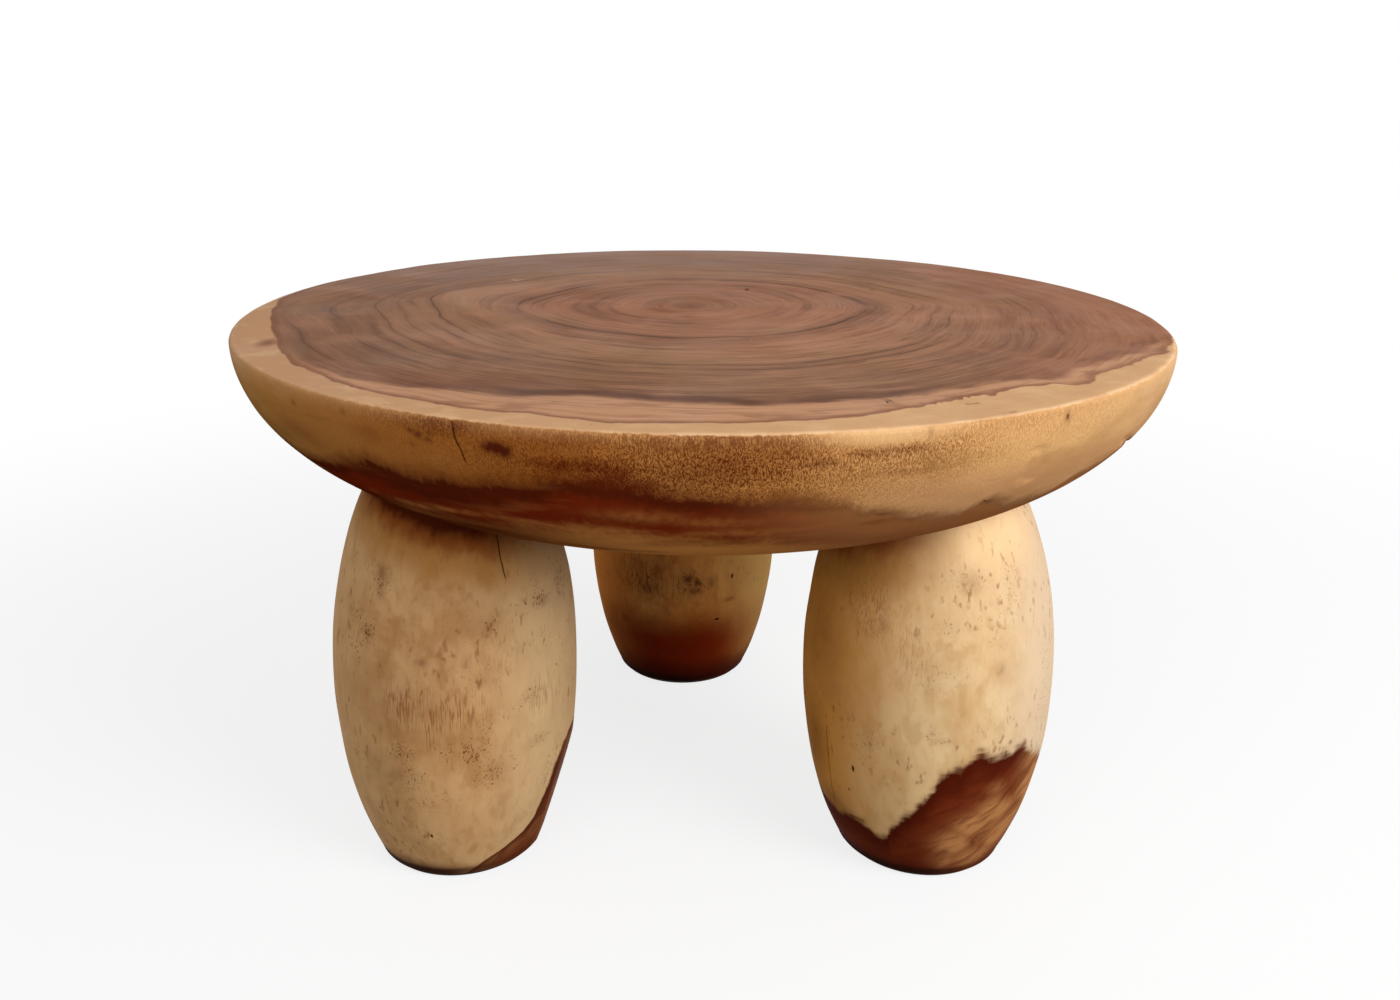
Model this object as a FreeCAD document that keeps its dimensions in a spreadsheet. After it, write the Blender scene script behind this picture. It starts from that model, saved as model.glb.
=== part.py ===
import FreeCAD, Part
import math
import os
import Sketcher

# A low round wooden table: a thick carved top with a bowl-shaped belly on three barrel legs.
# The origin is on the floor under the middle of the top, +Z is up and -Y is the front.
# Each leg stands on a thin pad. Its head is let into a housing in the belly, where a hanger
# bolt that runs up into a threaded insert draws it tight against the housing's floor.

SIZES = {
    # The top and its belly, a quarter of an ellipse that runs out into a flat underside
    "top_diameter": 850,
    "table_height": 450,
    "top_thickness": 146,
    "underside_flat_diameter": 382,
    "rim_edge_radius": 4,
    # The housings in the belly
    "housing_depth": 36,
    "housing_clearance": 0.3,
    # The barrel legs: across the widest ring of each, and across the foot and head of them all
    "front_left_leg_diameter": 208,
    "front_right_leg_diameter": 215,
    "back_leg_diameter": 208,
    "leg_foot_diameter": 142,
    "leg_head_diameter": 134,
    "foot_edge_radius": 4,
    "head_edge_chamfer": 2,
    # How far in from the rim each leg's axis stands, and its angle from +X in degrees
    "front_left_leg_inset": 156.5,
    "front_left_leg_angle": 218.2,
    "front_right_leg_inset": 170.7,
    "front_right_leg_angle": -38.1,
    "back_leg_inset": 241.8,
    "back_leg_angle": 96.6,
    # The foot pads
    "pad_thickness": 3,
    "pad_inset": 3,
    # The hanger bolts
    "bolt_diameter": 12,
    "bolt_machine_length": 38,
    "bolt_wood_length": 62,
    "bolt_point_length": 12,
    "bolt_point_diameter": 2,
    "bolt_end_chamfer": 1,
    # The threaded inserts in the top
    "insert_diameter": 18,
    "insert_length": 40,
    "insert_flange_diameter": 26,
    "insert_flange_thickness": 2,
    "thread_clearance": 0.05,
    # Spare depth at the end of each bore, and how far a cut runs out past its face
    "bore_end_room": 3,
    "cut_overrun": 5,
}

LEG_NAMES = ["front_left", "front_right", "back"]

# Levels and diameters that several pieces share
SHARED = {
    "underside_height": "=table_height - top_thickness",
    "seat_height": "=underside_height + housing_depth",
    "insert_bore_diameter": "=insert_diameter + 2 * thread_clearance",
    "flange_recess_diameter": "=insert_flange_diameter + 2 * thread_clearance",
    "bolt_bore_diameter": "=bolt_diameter + 2 * thread_clearance",
}

# Each barrel is the ellipse that passes through the leg's foot, its widest ring and its head.
# foot_share and head_share say how far down and up the ellipse those two lie.
for leg in LEG_NAMES:
    length = "(seat_height - pad_thickness)"
    SHARED |= {
        f"{leg}_foot_share": f"=sqrt(1 - (leg_foot_diameter / {leg}_leg_diameter) ^ 2)",
        f"{leg}_head_share": f"=sqrt(1 - (leg_head_diameter / {leg}_leg_diameter) ^ 2)",
        f"{leg}_half_height": f"={length} / ({leg}_foot_share + {leg}_head_share)",
        f"{leg}_middle_height": f"=pad_thickness + {leg}_foot_share * {leg}_half_height",
        f"{leg}_reach": f"=top_diameter / 2 - {leg}_leg_inset",
        f"{leg}_across": f"={leg}_reach * cos({leg}_leg_angle * 1deg)",
        f"{leg}_depth": f"={leg}_reach * sin({leg}_leg_angle * 1deg)",
    }

# Numbers by which a sketch knows its points, its origin and its upright axis
START_INDEX = 1
END_INDEX = 2
CENTRE_INDEX = 3
ORIGIN_INDEX = (-1, 1)
UPRIGHT_AXIS_INDEX = -2

ON_AXIS = "0"
FULL_TURN = 360
UP = FreeCAD.Vector(0, 0, 1)
SAME_LEVEL_SHARE = 1e-6

document = FreeCAD.newDocument("round_table")
sheet = document.addObject("Spreadsheet::Sheet", "Sizes")


def fill_sheet():
    for row, (name, entry) in enumerate({**SIZES, **SHARED}.items(), start=1):
        sheet.set(f"A{row}", name)
        sheet.set(f"B{row}", str(entry))
        sheet.setAlias(f"B{row}", name)
    document.recompute()


def value(formula):
    """What a formula comes to now, for the first draft of what the sheet then drives."""
    return float(sheet.evalExpression(formula))


def vector(place):
    return FreeCAD.Vector(*(value(formula) for formula in place), 0)


def place_of(leg):
    """The formulas for where a leg's axis meets the floor."""
    return f"Sizes.{leg}_across", f"Sizes.{leg}_depth"


def new_body(label, place=(ON_AXIS, ON_AXIS)):
    body = document.addObject("PartDesign::Body", label)
    body.Label = label
    body.setExpression("Placement.Base.x", place[0])
    body.setExpression("Placement.Base.y", place[1])
    return body


def new_feature(body, kind, name):
    return body.newObject(kind, f"{body.Label}_{name}")


def new_sketch(body, name, role):
    """A sketch on one of the body's own origin planes."""
    sketch = new_feature(body, "Sketcher::SketchObject", name)
    plane = [feature for feature in body.Origin.OriginFeatures if feature.Role == role][0]
    sketch.AttachmentSupport = [(plane, "")]
    sketch.MapMode = "FlatFace"
    return sketch


def add_line(sketch, start, end):
    return sketch.addGeometry(Part.LineSegment(start, end), False)


def constrain(sketch, kind, *where):
    return sketch.addConstraint(Sketcher.Constraint(kind, *where))


def join(sketch, edges):
    """Joins each edge's end to the start of the next, and the last one's to the first."""
    for edge, following in zip(edges, edges[1:] + edges[:1]):
        constrain(sketch, "Coincident", edge, END_INDEX, following, START_INDEX)


def drive(sketch, name, formula, kind, *where):
    """Adds a named dimension that the sheet drives."""
    index = constrain(sketch, kind, *where, value(formula))
    sketch.renameConstraint(index, name)
    sketch.setExpression(f"Constraints.{name}", formula)


def drive_reach(sketch, name, formula, edge, point):
    """How far a point is from the sketch's upright axis. A point on the axis has no number."""
    if formula == ON_AXIS:
        constrain(sketch, "PointOnObject", edge, point, UPRIGHT_AXIS_INDEX)
    else:
        drive(sketch, f"{name}_reach", formula, "DistanceX", *ORIGIN_INDEX, edge, point)


def drive_height(sketch, name, formula, edge, point):
    drive(sketch, f"{name}_height", formula, "DistanceY", *ORIGIN_INDEX, edge, point)


def settle(sketch):
    document.recompute()
    if sketch.solve() != 0 or not sketch.FullyConstrained:
        raise RuntimeError(f"{sketch.Name} is not fully constrained")


def draw_corners(sketch, corners):
    """A closed outline of straight lines. Each corner is a reach and a height, as formulas."""
    points = [vector(corner) for corner in corners]
    ends = points[1:] + points[:1]
    lines = [add_line(sketch, start, end) for start, end in zip(points, ends)]
    join(sketch, lines)
    for line, (reach, height) in zip(lines, corners):
        drive_reach(sketch, f"corner_{line}", reach, line, START_INDEX)
        drive_height(sketch, f"corner_{line}", height, line, START_INDEX)


def draw_swollen(sketch, centre, half_width, half_height, low, high):
    """Half of a turned form, level below and above, with a side that is a stretch of an ellipse.

    low and high say where the side starts and ends: a reach or a height, and its formula."""
    middle = vector(centre)
    across = FreeCAD.Vector(value(half_width), 0, 0)
    up = FreeCAD.Vector(0, value(half_height), 0)
    upright = up.Length > across.Length
    if upright:
        ellipse = Part.Ellipse(middle + up, middle - across, middle)
    else:
        ellipse = Part.Ellipse(middle + across, middle + up, middle)

    def point_at(limit):
        kind, formula = limit
        if kind == "reach":
            return middle - up
        rise = (value(formula) - middle.y) / up.Length
        return middle + up * rise + across * math.sqrt(1 - rise**2)

    foot = point_at(low)
    head = point_at(high)
    axis_foot = FreeCAD.Vector(0, foot.y, 0)
    axis_head = FreeCAD.Vector(0, head.y, 0)
    bottom = add_line(sketch, axis_foot, foot)
    arc = Part.ArcOfEllipse(ellipse, ellipse.parameter(foot), ellipse.parameter(head))
    side = sketch.addGeometry(arc, False)
    top = add_line(sketch, head, axis_head)
    axis = add_line(sketch, axis_head, axis_foot)
    join(sketch, [bottom, side, top, axis])
    constrain(sketch, "Horizontal", bottom)
    constrain(sketch, "Horizontal", top)
    constrain(sketch, "PointOnObject", bottom, START_INDEX, UPRIGHT_AXIS_INDEX)
    constrain(sketch, "PointOnObject", axis, START_INDEX, UPRIGHT_AXIS_INDEX)

    drive_reach(sketch, "centre", centre[0], side, CENTRE_INDEX)
    drive_height(sketch, "centre", centre[1], side, CENTRE_INDEX)
    sketch.exposeInternalGeometry(side)
    long_axis, short_axis = axis + 1, axis + 2
    constrain(sketch, "Vertical" if upright else "Horizontal", long_axis)
    wide, tall = (short_axis, long_axis) if upright else (long_axis, short_axis)
    drive(sketch, "full_width", f"({half_width}) + ({half_width})", "Distance", wide)
    drive(sketch, "full_height", f"({half_height}) + ({half_height})", "Distance", tall)
    for name, (kind, formula), point in (("low", low, START_INDEX), ("high", high, END_INDEX)):
        drive_limit = drive_reach if kind == "reach" else drive_height
        drive_limit(sketch, name, formula, side, point)


def revolve(body, sketch, kind, name):
    """Turns a half section once about its own upright axis, to add or to cut."""
    settle(sketch)
    feature = new_feature(body, f"PartDesign::{kind}", name)
    feature.Profile = sketch
    feature.ReferenceAxis = (sketch, ["V_Axis"])
    feature.Angle = FULL_TURN
    document.recompute()


def dress_circle(body, kind, name, height, size_name, formula):
    """Rounds or bevels the outermost circle about the body's axis at one height."""
    circles = {
        f"Edge{number}": edge.Curve.Radius
        for number, edge in enumerate(body.Tip.Shape.Edges, start=1)
        if isinstance(edge.Curve, Part.Circle)
        and math.isclose(edge.Curve.Center.z, value(height), rel_tol=SAME_LEVEL_SHARE)
    }
    outermost = max(circles, key=circles.get)
    base = body.Tip
    feature = new_feature(body, f"PartDesign::{kind}", name)
    feature.Base = (base, [outermost])
    feature.setExpression(size_name, formula)
    document.recompute()


def drill(body, name, places, at_height, diameter, depth, upwards=False):
    """A hole at each place, from a level at_height, with a Hole feature."""
    sketch = new_sketch(body, f"{name}_centres", "XY_Plane")
    sketch.setExpression("AttachmentOffset.Base.z", at_height)
    for number, place in enumerate(places):
        circle = Part.Circle(vector(place), UP, value(diameter) / 2)
        edge = sketch.addGeometry(circle, False)
        drive(sketch, f"across_{number}", place[0], "DistanceX", *ORIGIN_INDEX, edge, CENTRE_INDEX)
        drive(sketch, f"depth_{number}", place[1], "DistanceY", *ORIGIN_INDEX, edge, CENTRE_INDEX)
        drive(sketch, f"diameter_{number}", diameter, "Diameter", edge)
    settle(sketch)
    hole = new_feature(body, "PartDesign::Hole", name)
    hole.Profile = sketch
    hole.DepthType = "Dimension"
    hole.DrillPoint = "Flat"
    hole.Reversed = upwards
    hole.setExpression("Diameter", diameter)
    hole.setExpression("Depth", depth)
    document.recompute()
    return hole


def make_table_top():
    """The carved top: belly, eased rim, and under it a housing and an insert bore for each leg."""
    body = new_body("table_top")
    profile = new_sketch(body, "belly_profile", "XZ_Plane")
    draw_swollen(
        profile,
        centre=("Sizes.underside_flat_diameter / 2", "Sizes.table_height"),
        half_width="(Sizes.top_diameter - Sizes.underside_flat_diameter) / 2",
        half_height="Sizes.top_thickness",
        low=("reach", "Sizes.underside_flat_diameter / 2"),
        high=("height", "Sizes.table_height"),
    )
    revolve(body, profile, "Revolution", "belly")
    dress_circle(body, "Fillet", "rim", "Sizes.table_height", "Radius", "Sizes.rim_edge_radius")
    for leg in LEG_NAMES:
        section = new_sketch(body, f"{leg}_housing_section", "XZ_Plane")
        section.setExpression("AttachmentOffset.Base.x", f"Sizes.{leg}_across")
        section.setExpression("AttachmentOffset.Base.z", f"-Sizes.{leg}_depth")
        draw_swollen(
            section,
            centre=(ON_AXIS, f"Sizes.{leg}_middle_height"),
            half_width=f"Sizes.{leg}_leg_diameter / 2 + Sizes.housing_clearance",
            half_height=f"Sizes.{leg}_half_height + Sizes.housing_clearance",
            low=("height", "Sizes.underside_height - Sizes.cut_overrun"),
            high=("height", "Sizes.seat_height"),
        )
        revolve(body, section, "Groove", f"{leg}_housing")
    bores = drill(
        body,
        "insert_bores",
        [place_of(leg) for leg in LEG_NAMES],
        at_height="Sizes.seat_height",
        diameter="Sizes.insert_bore_diameter",
        depth="Sizes.insert_length + Sizes.bore_end_room",
        upwards=True,
    )
    bores.HoleCutType = "Counterbore"
    bores.HoleCutCustomValues = True
    bores.setExpression("HoleCutDiameter", "Sizes.flange_recess_diameter")
    bores.setExpression("HoleCutDepth", "Sizes.insert_flange_thickness")
    return body


def make_leg(leg):
    """A barrel leg, with a bore for the hanger bolt down from its head."""
    body = new_body(f"leg_{leg}", place_of(leg))
    profile = new_sketch(body, "barrel_profile", "XZ_Plane")
    draw_swollen(
        profile,
        centre=(ON_AXIS, f"Sizes.{leg}_middle_height"),
        half_width=f"Sizes.{leg}_leg_diameter / 2",
        half_height=f"Sizes.{leg}_half_height",
        low=("height", "Sizes.pad_thickness"),
        high=("height", "Sizes.seat_height"),
    )
    revolve(body, profile, "Revolution", "barrel")
    dress_circle(body, "Fillet", "foot", "Sizes.pad_thickness", "Radius", "Sizes.foot_edge_radius")
    dress_circle(body, "Chamfer", "head", "Sizes.seat_height", "Size", "Sizes.head_edge_chamfer")
    drill(
        body,
        "bolt_bore",
        [(ON_AXIS, ON_AXIS)],
        at_height="Sizes.seat_height",
        diameter="Sizes.bolt_bore_diameter",
        depth="Sizes.bolt_wood_length + Sizes.bore_end_room",
    )
    return body


def make_hanger_bolt(leg):
    """A bolt with a pointed wood-screw end in the leg and a machine-screw end in the insert."""
    body = new_body(f"hanger_bolt_{leg}", place_of(leg))
    tip = "Sizes.seat_height - Sizes.bolt_wood_length"
    head = "Sizes.seat_height + Sizes.bolt_machine_length"
    radius = "Sizes.bolt_diameter / 2"
    profile = new_sketch(body, "profile", "XZ_Plane")
    draw_corners(
        profile,
        [
            (ON_AXIS, tip),
            ("Sizes.bolt_point_diameter / 2", tip),
            (radius, f"{tip} + Sizes.bolt_point_length"),
            (radius, f"{head} - Sizes.bolt_end_chamfer"),
            (f"{radius} - Sizes.bolt_end_chamfer", head),
            (ON_AXIS, head),
        ],
    )
    revolve(body, profile, "Revolution", "shank")
    return body


def make_insert(leg):
    """A flanged insert, bored through for the bolt, its flange flush with the housing's floor."""
    body = new_body(f"threaded_insert_{leg}", place_of(leg))
    seat = "Sizes.seat_height"
    under_flange = "Sizes.seat_height + Sizes.insert_flange_thickness"
    head = "Sizes.seat_height + Sizes.insert_length"
    bore = "Sizes.bolt_bore_diameter / 2"
    barrel = "Sizes.insert_diameter / 2"
    flange = "Sizes.insert_flange_diameter / 2"
    profile = new_sketch(body, "profile", "XZ_Plane")
    draw_corners(
        profile,
        [
            (bore, seat),
            (flange, seat),
            (flange, under_flange),
            (barrel, under_flange),
            (barrel, head),
            (bore, head),
        ],
    )
    revolve(body, profile, "Revolution", "sleeve")
    return body


def make_foot_pad(leg):
    """A thin round pad under the leg's foot."""
    body = new_body(f"foot_pad_{leg}", place_of(leg))
    radius = "Sizes.leg_foot_diameter / 2 - Sizes.pad_inset"
    outline = new_sketch(body, "outline", "XY_Plane")
    edge = outline.addGeometry(Part.Circle(FreeCAD.Vector(), UP, value(radius)), False)
    constrain(outline, "Coincident", edge, CENTRE_INDEX, *ORIGIN_INDEX)
    drive(outline, "radius", radius, "Radius", edge)
    settle(outline)
    pad = new_feature(body, "PartDesign::Pad", "disc")
    pad.Profile = outline
    pad.setExpression("Length", "Sizes.pad_thickness")
    return body


def check_pieces(pieces):
    """Stops the build at a failed feature, or at a piece that isn't one sound solid."""
    for thing in document.Objects:
        if {"Invalid", "Error"} & set(thing.State):
            raise RuntimeError(f"{thing.Name} failed: {thing.State}")
    for body in pieces:
        shape = body.Shape
        if shape.isNull() or not shape.isValid() or len(shape.Solids) != 1:
            raise RuntimeError(f"{body.Label} is not one sound solid")


def check_cuts(body):
    """Every cut has to take wood away."""
    for feature in body.Group:
        if feature.TypeId in ("PartDesign::Groove", "PartDesign::Hole"):
            if feature.Shape.Volume >= feature.BaseFeature.Shape.Volume:
                raise RuntimeError(f"{feature.Name} cut nothing")


fill_sheet()
pieces = [make_table_top()]
for leg_name in LEG_NAMES:
    pieces.append(make_leg(leg_name))
    pieces.append(make_hanger_bolt(leg_name))
    pieces.append(make_insert(leg_name))
    pieces.append(make_foot_pad(leg_name))
document.recompute()
check_pieces(pieces)
for piece in pieces:
    check_cuts(piece)

os.makedirs("parts", exist_ok=True)
for piece in pieces:
    piece.Shape.exportStep(f"parts/{piece.Label}.step")
    box = piece.Shape.BoundBox
    print(f"{piece.Label}: {piece.Shape.Volume:.0f} mm3, up from {box.ZMin:.2f} to {box.ZMax:.2f}")
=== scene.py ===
import bmesh
import bpy
import math
from mathutils import Matrix, Vector, kdtree, noise


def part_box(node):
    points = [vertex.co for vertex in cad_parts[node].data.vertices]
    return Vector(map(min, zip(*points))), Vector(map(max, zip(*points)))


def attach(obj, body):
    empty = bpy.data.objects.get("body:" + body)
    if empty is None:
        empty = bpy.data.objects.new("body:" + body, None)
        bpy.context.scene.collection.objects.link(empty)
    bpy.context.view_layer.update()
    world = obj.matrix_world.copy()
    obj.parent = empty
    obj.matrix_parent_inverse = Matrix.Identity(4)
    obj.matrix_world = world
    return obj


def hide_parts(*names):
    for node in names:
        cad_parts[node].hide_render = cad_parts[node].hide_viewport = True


# A round table in solid wood: a thick carved top with its growth rings showing, a bowl-shaped
# belly and three barrel legs. Lengths are in metres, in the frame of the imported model.

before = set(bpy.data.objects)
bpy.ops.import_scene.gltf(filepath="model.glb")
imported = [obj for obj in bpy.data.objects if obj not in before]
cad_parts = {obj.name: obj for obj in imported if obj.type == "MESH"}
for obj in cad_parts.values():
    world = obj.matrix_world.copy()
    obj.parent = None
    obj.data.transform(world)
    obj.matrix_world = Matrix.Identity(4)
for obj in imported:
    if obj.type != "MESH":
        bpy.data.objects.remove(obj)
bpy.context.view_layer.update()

LEGS = ("front_left", "front_right", "back")


def mm(*lengths):
    """A place or a size that is written in millimetres."""
    return Vector(lengths) / 1000


def paint(red, green, blue):
    """A colour as a screen shows it, 0 to 255 for each part, turned into the linear one."""
    parts = [part / 255 for part in (red, green, blue)]
    linear = [(part + 0.055) ** 2.4 / 1.055**2.4 if part > 0.04 else part / 12.92 for part in parts]
    return (*linear, 1.0)


# The top, from its node's box
top_low, top_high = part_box("table_top")
TOP_RADIUS = (top_high.x - top_low.x) / 2
TOP_LEVEL = top_high.z
UNDERSIDE_LEVEL = top_low.z
TOP_THICKNESS = TOP_LEVEL - UNDERSIDE_LEVEL
UNDERSIDE_FLAT_RADIUS = 0.191
RIM_ROUNDING = 0.004

# The legs, the housings that take their heads, and the bores for their bolts
leg_boxes = {leg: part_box(f"leg_{leg}") for leg in LEGS}
leg_axes = {leg: (low + high) / 2 for leg, (low, high) in leg_boxes.items()}
FOOT_RADIUS = 0.071
HEAD_RADIUS = 0.067
FOOT_ROUNDING = 0.004
HEAD_BEVEL = 0.002
HOUSING_CLEARANCE = 0.0003
BOLT_BORE_RADIUS = 0.00605
BOLT_BORE_DEPTH = 0.065
INSERT_BORE_RADIUS = 0.00905
INSERT_BORE_DEPTH = 0.043
FLANGE_RECESS_RADIUS = 0.01305
FLANGE_RECESS_DEPTH = 0.002
CUTTER_OVERRUN = 0.02

# The foot pads
PAD_ROUNDING = 0.0008

# How finely the turned pieces are divided, round their axes and along their outlines
TOP_STEPS = 512
LEG_STEPS = 256
PAD_STEPS = 128
HOUSING_STEPS = 96
TOP_FACE_ROWS = 36
BELLY_ROWS = 84
UNDERSIDE_ROWS = 12
LEG_ROWS = 150
HOUSING_ROWS = 24
SOLE_ROWS = 8
HEAD_ROWS = 6
PAD_ROWS = 6
ROUNDING_ROWS = 6
PAD_ROUNDING_ROWS = 4
SOLE_HUB_RADIUS = 0.01
HEAD_RING_WIDTH = 0.008
WEDGE_DOUBLINGS = 4
WELD_DISTANCE = 1e-6
SHARP_ANGLE = 35

# The unevenness that carving by hand leaves: its height, and how closely it waves
TOP_UNEVENNESS = 0.0006
LEG_UNEVENNESS = 0.0012
BROAD_WAVES = 9
CLOSE_WAVES = 31
CLOSE_WAVE_SHARE = 0.35
CLOSE_WAVE_SHIFT = Vector((7, 3, 5))

# It dies away round the seats of the legs, near their heads and at their feet
RIM_DEPTH = 0.04
SEAT_RADIUS = 0.095
SEAT_FADE = 0.03
LEG_SHOWN_LEVEL = 0.30
HEAD_FADE = 0.05
FOOT_FADE = 0.03

# Carving: how often and how far round a cut the mesh is divided, how far from it points are
# looked for in half widths, how steeply it sinks and darkens, and how its lips wander
CUT_PASSES = 3
CUT_LIPS = 0.003
CUT_SEARCH = 2.5
CUT_STEEPNESS = 1.6
CUT_DARKENING = 2.2
LIP_WAVES = 90
LIP_SWAY_SHARE = 0.8
CRACK_END_SHARE = 0.25

# Without a seed, noise vectors are shifted by the clock and the lips wander anew each run
NOISE_SEED = 7
noise.seed_set(NOISE_SEED)

# How far a soft mark reaches, in its own half sizes
MARK_REACH = 2.2


def arc(centre, radii, start, end, count):
    """Points on a stretch of an ellipse, as reaches and heights. Angles are in degrees."""
    turns = [math.radians(start + (end - start) * step / count) for step in range(count + 1)]
    return [
        (centre[0] + radii[0] * math.cos(turn), centre[1] + radii[1] * math.sin(turn))
        for turn in turns
    ]


def straight(start, end, count):
    """Evenly spaced points from start up to but not including end."""
    shares = [step / count for step in range(count)]
    return [tuple(Vector(start).lerp(Vector(end), share)) for share in shares]


def turn_on_axis(outline, centre, steps):
    """A closed solid, turned about the upright line through centre from an outline's points.

    A wedge is spun, then copied round until it fills the turn."""
    bm = bmesh.new()
    middle = Vector((centre.x, centre.y, 0))
    points = [bm.verts.new((centre.x + reach, centre.y, height)) for reach, height in outline]
    lines = [bm.edges.new(pair) for pair in zip(points, points[1:])]
    wedge = math.tau / 2**WEDGE_DOUBLINGS
    bmesh.ops.spin(
        bm,
        geom=points + lines,
        cent=middle,
        axis=(0, 0, 1),
        angle=wedge,
        steps=steps // 2**WEDGE_DOUBLINGS,
    )
    for doubling in range(WEDGE_DOUBLINGS):
        copied = bmesh.ops.duplicate(bm, geom=bm.verts[:] + bm.edges[:] + bm.faces[:])["geom"]
        verts = [item for item in copied if isinstance(item, bmesh.types.BMVert)]
        turned = Matrix.Rotation(wedge * 2**doubling, 3, "Z")
        bmesh.ops.rotate(bm, verts=verts, cent=middle, matrix=turned)
    bmesh.ops.remove_doubles(bm, verts=bm.verts, dist=WELD_DISTANCE)
    bmesh.ops.recalc_face_normals(bm, faces=bm.faces)
    return bm


def put_in_scene(name, data):
    """An object for a mesh, a lamp or the camera."""
    item = bpy.data.objects.new(name, data)
    bpy.context.scene.collection.objects.link(item)
    return item


def mesh_object(bm, name):
    """An object made from what was modelled."""
    mesh = bpy.data.meshes.new(name)
    bm.to_mesh(mesh)
    bm.free()
    return put_in_scene(name, mesh)


def finish_piece(bm, name, nodes, material):
    """Makes the mesh an object that stands for its CAD nodes."""
    piece = mesh_object(bm, name)
    piece.data.shade_smooth()
    piece.data.set_sharp_from_angle(angle=math.radians(SHARP_ANGLE))
    piece.data.materials.append(material)
    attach(piece, "root")
    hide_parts(*nodes)
    return piece


def barrel_arc(leg, grown=0.0, head_level=None, foot_level=None, rows=LEG_ROWS):
    """The side of a leg from its foot up to its head: part of an ellipse through both."""
    low, high = leg_boxes[leg]
    widest = (high.x - low.x) / 2
    foot_share = math.sqrt(1 - (FOOT_RADIUS / widest) ** 2)
    head_share = math.sqrt(1 - (HEAD_RADIUS / widest) ** 2)
    half_height = (high.z - low.z) / (foot_share + head_share)
    middle = low.z + foot_share * half_height
    tall = half_height + grown
    start = math.degrees(math.asin(((foot_level or low.z) - middle) / tall))
    end = math.degrees(math.asin(((head_level or high.z) - middle) / tall))
    return arc((0, middle), (widest + grown, tall), start, end, rows)


# What the wood has been through: each cut is a crack, a gouge or a worm hole, as the points it
# runs through, its half width, its depth and how dark it is inside. A cut that tapers is a
# crack, which closes towards its ends.
class Cut:
    def __init__(self, points, half_width, depth, tapers=False, dark=1.0):
        self.points = [mm(*point) for point in points]
        self.half_width = half_width / 1000
        self.depth = depth / 1000
        self.tapers = tapers
        self.dark = dark
        self.stretches = list(zip(self.points, self.points[1:]))
        self.length = sum((end - start).length for start, end in self.stretches)

    def middle_points(self, spacing):
        """Points along the cut, no further apart than spacing."""
        points = [self.points[-1]]
        for start, end in self.stretches:
            count = math.ceil((end - start).length / spacing)
            points += [start.lerp(end, step / count) for step in range(count)]
        return points

    def closeness(self, point, outward):
        """From 1 on the cut's own line to 0 at its lips, measured across the surface."""
        wander = noise.noise_vector(point * LIP_WAVES) * self.half_width * LIP_SWAY_SHARE
        closest = 0.0
        run = 0.0
        for start, end in self.stretches:
            along = end - start
            share = (point - start).dot(along) / along.length_squared
            share = min(max(share, 0.0), 1.0)
            off = point + wander - start - along * share
            off -= outward * off.dot(outward)
            width = self.half_width
            if self.tapers:
                done = (run + share * along.length) / self.length
                opening = math.sqrt(max(0.0, 4 * done * (1 - done)))
                width *= CRACK_END_SHARE + (1 - CRACK_END_SHARE) * opening
            closest = max(closest, 1 - off.length / width)
            run += along.length
        return closest


TOP_CUTS = [
    Cut(
        [(-160, -394, 448), (-159, -394, 436), (-155, -393, 428), (-151, -391, 417)],
        1.0,
        1.8,
        tapers=True,
        dark=0.65,
    ),
    Cut([(44, 113, 450), (46, 122, 450)], 3.6, 3.0),
    Cut([(177, 127, 450), (179, 127, 450)], 2.4, 1.5, dark=0.7),
    Cut([(182, -343, 450), (190, -340, 450)], 1.6, 0.4, dark=0.55),
    Cut([(206, -363, 450), (210, -362, 450)], 1.4, 0.4, dark=0.55),
    Cut([(128, -339, 450), (134, -338, 450)], 1.4, 0.4, dark=0.45),
    Cut([(299, 50, 450), (301, 50, 450)], 1.2, 1.2),
    Cut([(252, -342, 442), (252, -342, 440)], 1.3, 1.0, dark=0.55),
    Cut([(198, -343, 381), (199, -343, 379)], 1.5, 1.2),
]
TOP_GOUGES = [
    Cut([(324, -256, 399), (339, -214, 386), (354, -172, 373)], 5.5, 1.6, dark=0.0),
    Cut([(232, -345, 420), (226, -338, 398)], 11.0, 1.4, dark=0.0),
]
LEG_CUTS = {
    "front_left": [
        Cut([(-162, -231, 312), (-158, -237, 287), (-154, -239, 273)], 0.8, 1.8, tapers=True, dark=0.65),
        Cut([(-219, -255, 54), (-219, -255, 52)], 1.3, 1.5),
    ],
    "front_right": [
        Cut([(108, -211, 143), (112, -209, 97), (121, -202, 52)], 0.9, 2.2, tapers=True, dark=0.8),
        Cut([(130, -232, 107), (130, -232, 104)], 1.7, 2.0),
        Cut([(128, -225, 82), (128, -225, 80)], 1.0, 1.2),
    ],
    "back": [
        Cut([(35, 95, 139), (35, 95, 136)], 1.5, 1.6),
        Cut([(16, 93, 88), (20, 93, 88)], 1.4, 1.5),
    ],
}


# Soft marks in the wood: a knot, a stain or a group of pores, as its middle, its half sizes
# across, deep and high, and its strength.
class Mark:
    def __init__(self, middle, half_sizes, strength):
        self.middle = mm(*middle)
        self.half_sizes = mm(*half_sizes)
        self.half_width = max(self.half_sizes)
        self.strength = strength

    def middle_points(self, spacing):
        return [self.middle]

    def closeness(self, point):
        away = point - self.middle
        scaled = Vector([part / half for part, half in zip(away, self.half_sizes)])
        return self.strength * math.exp(-scaled.length_squared)


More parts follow.
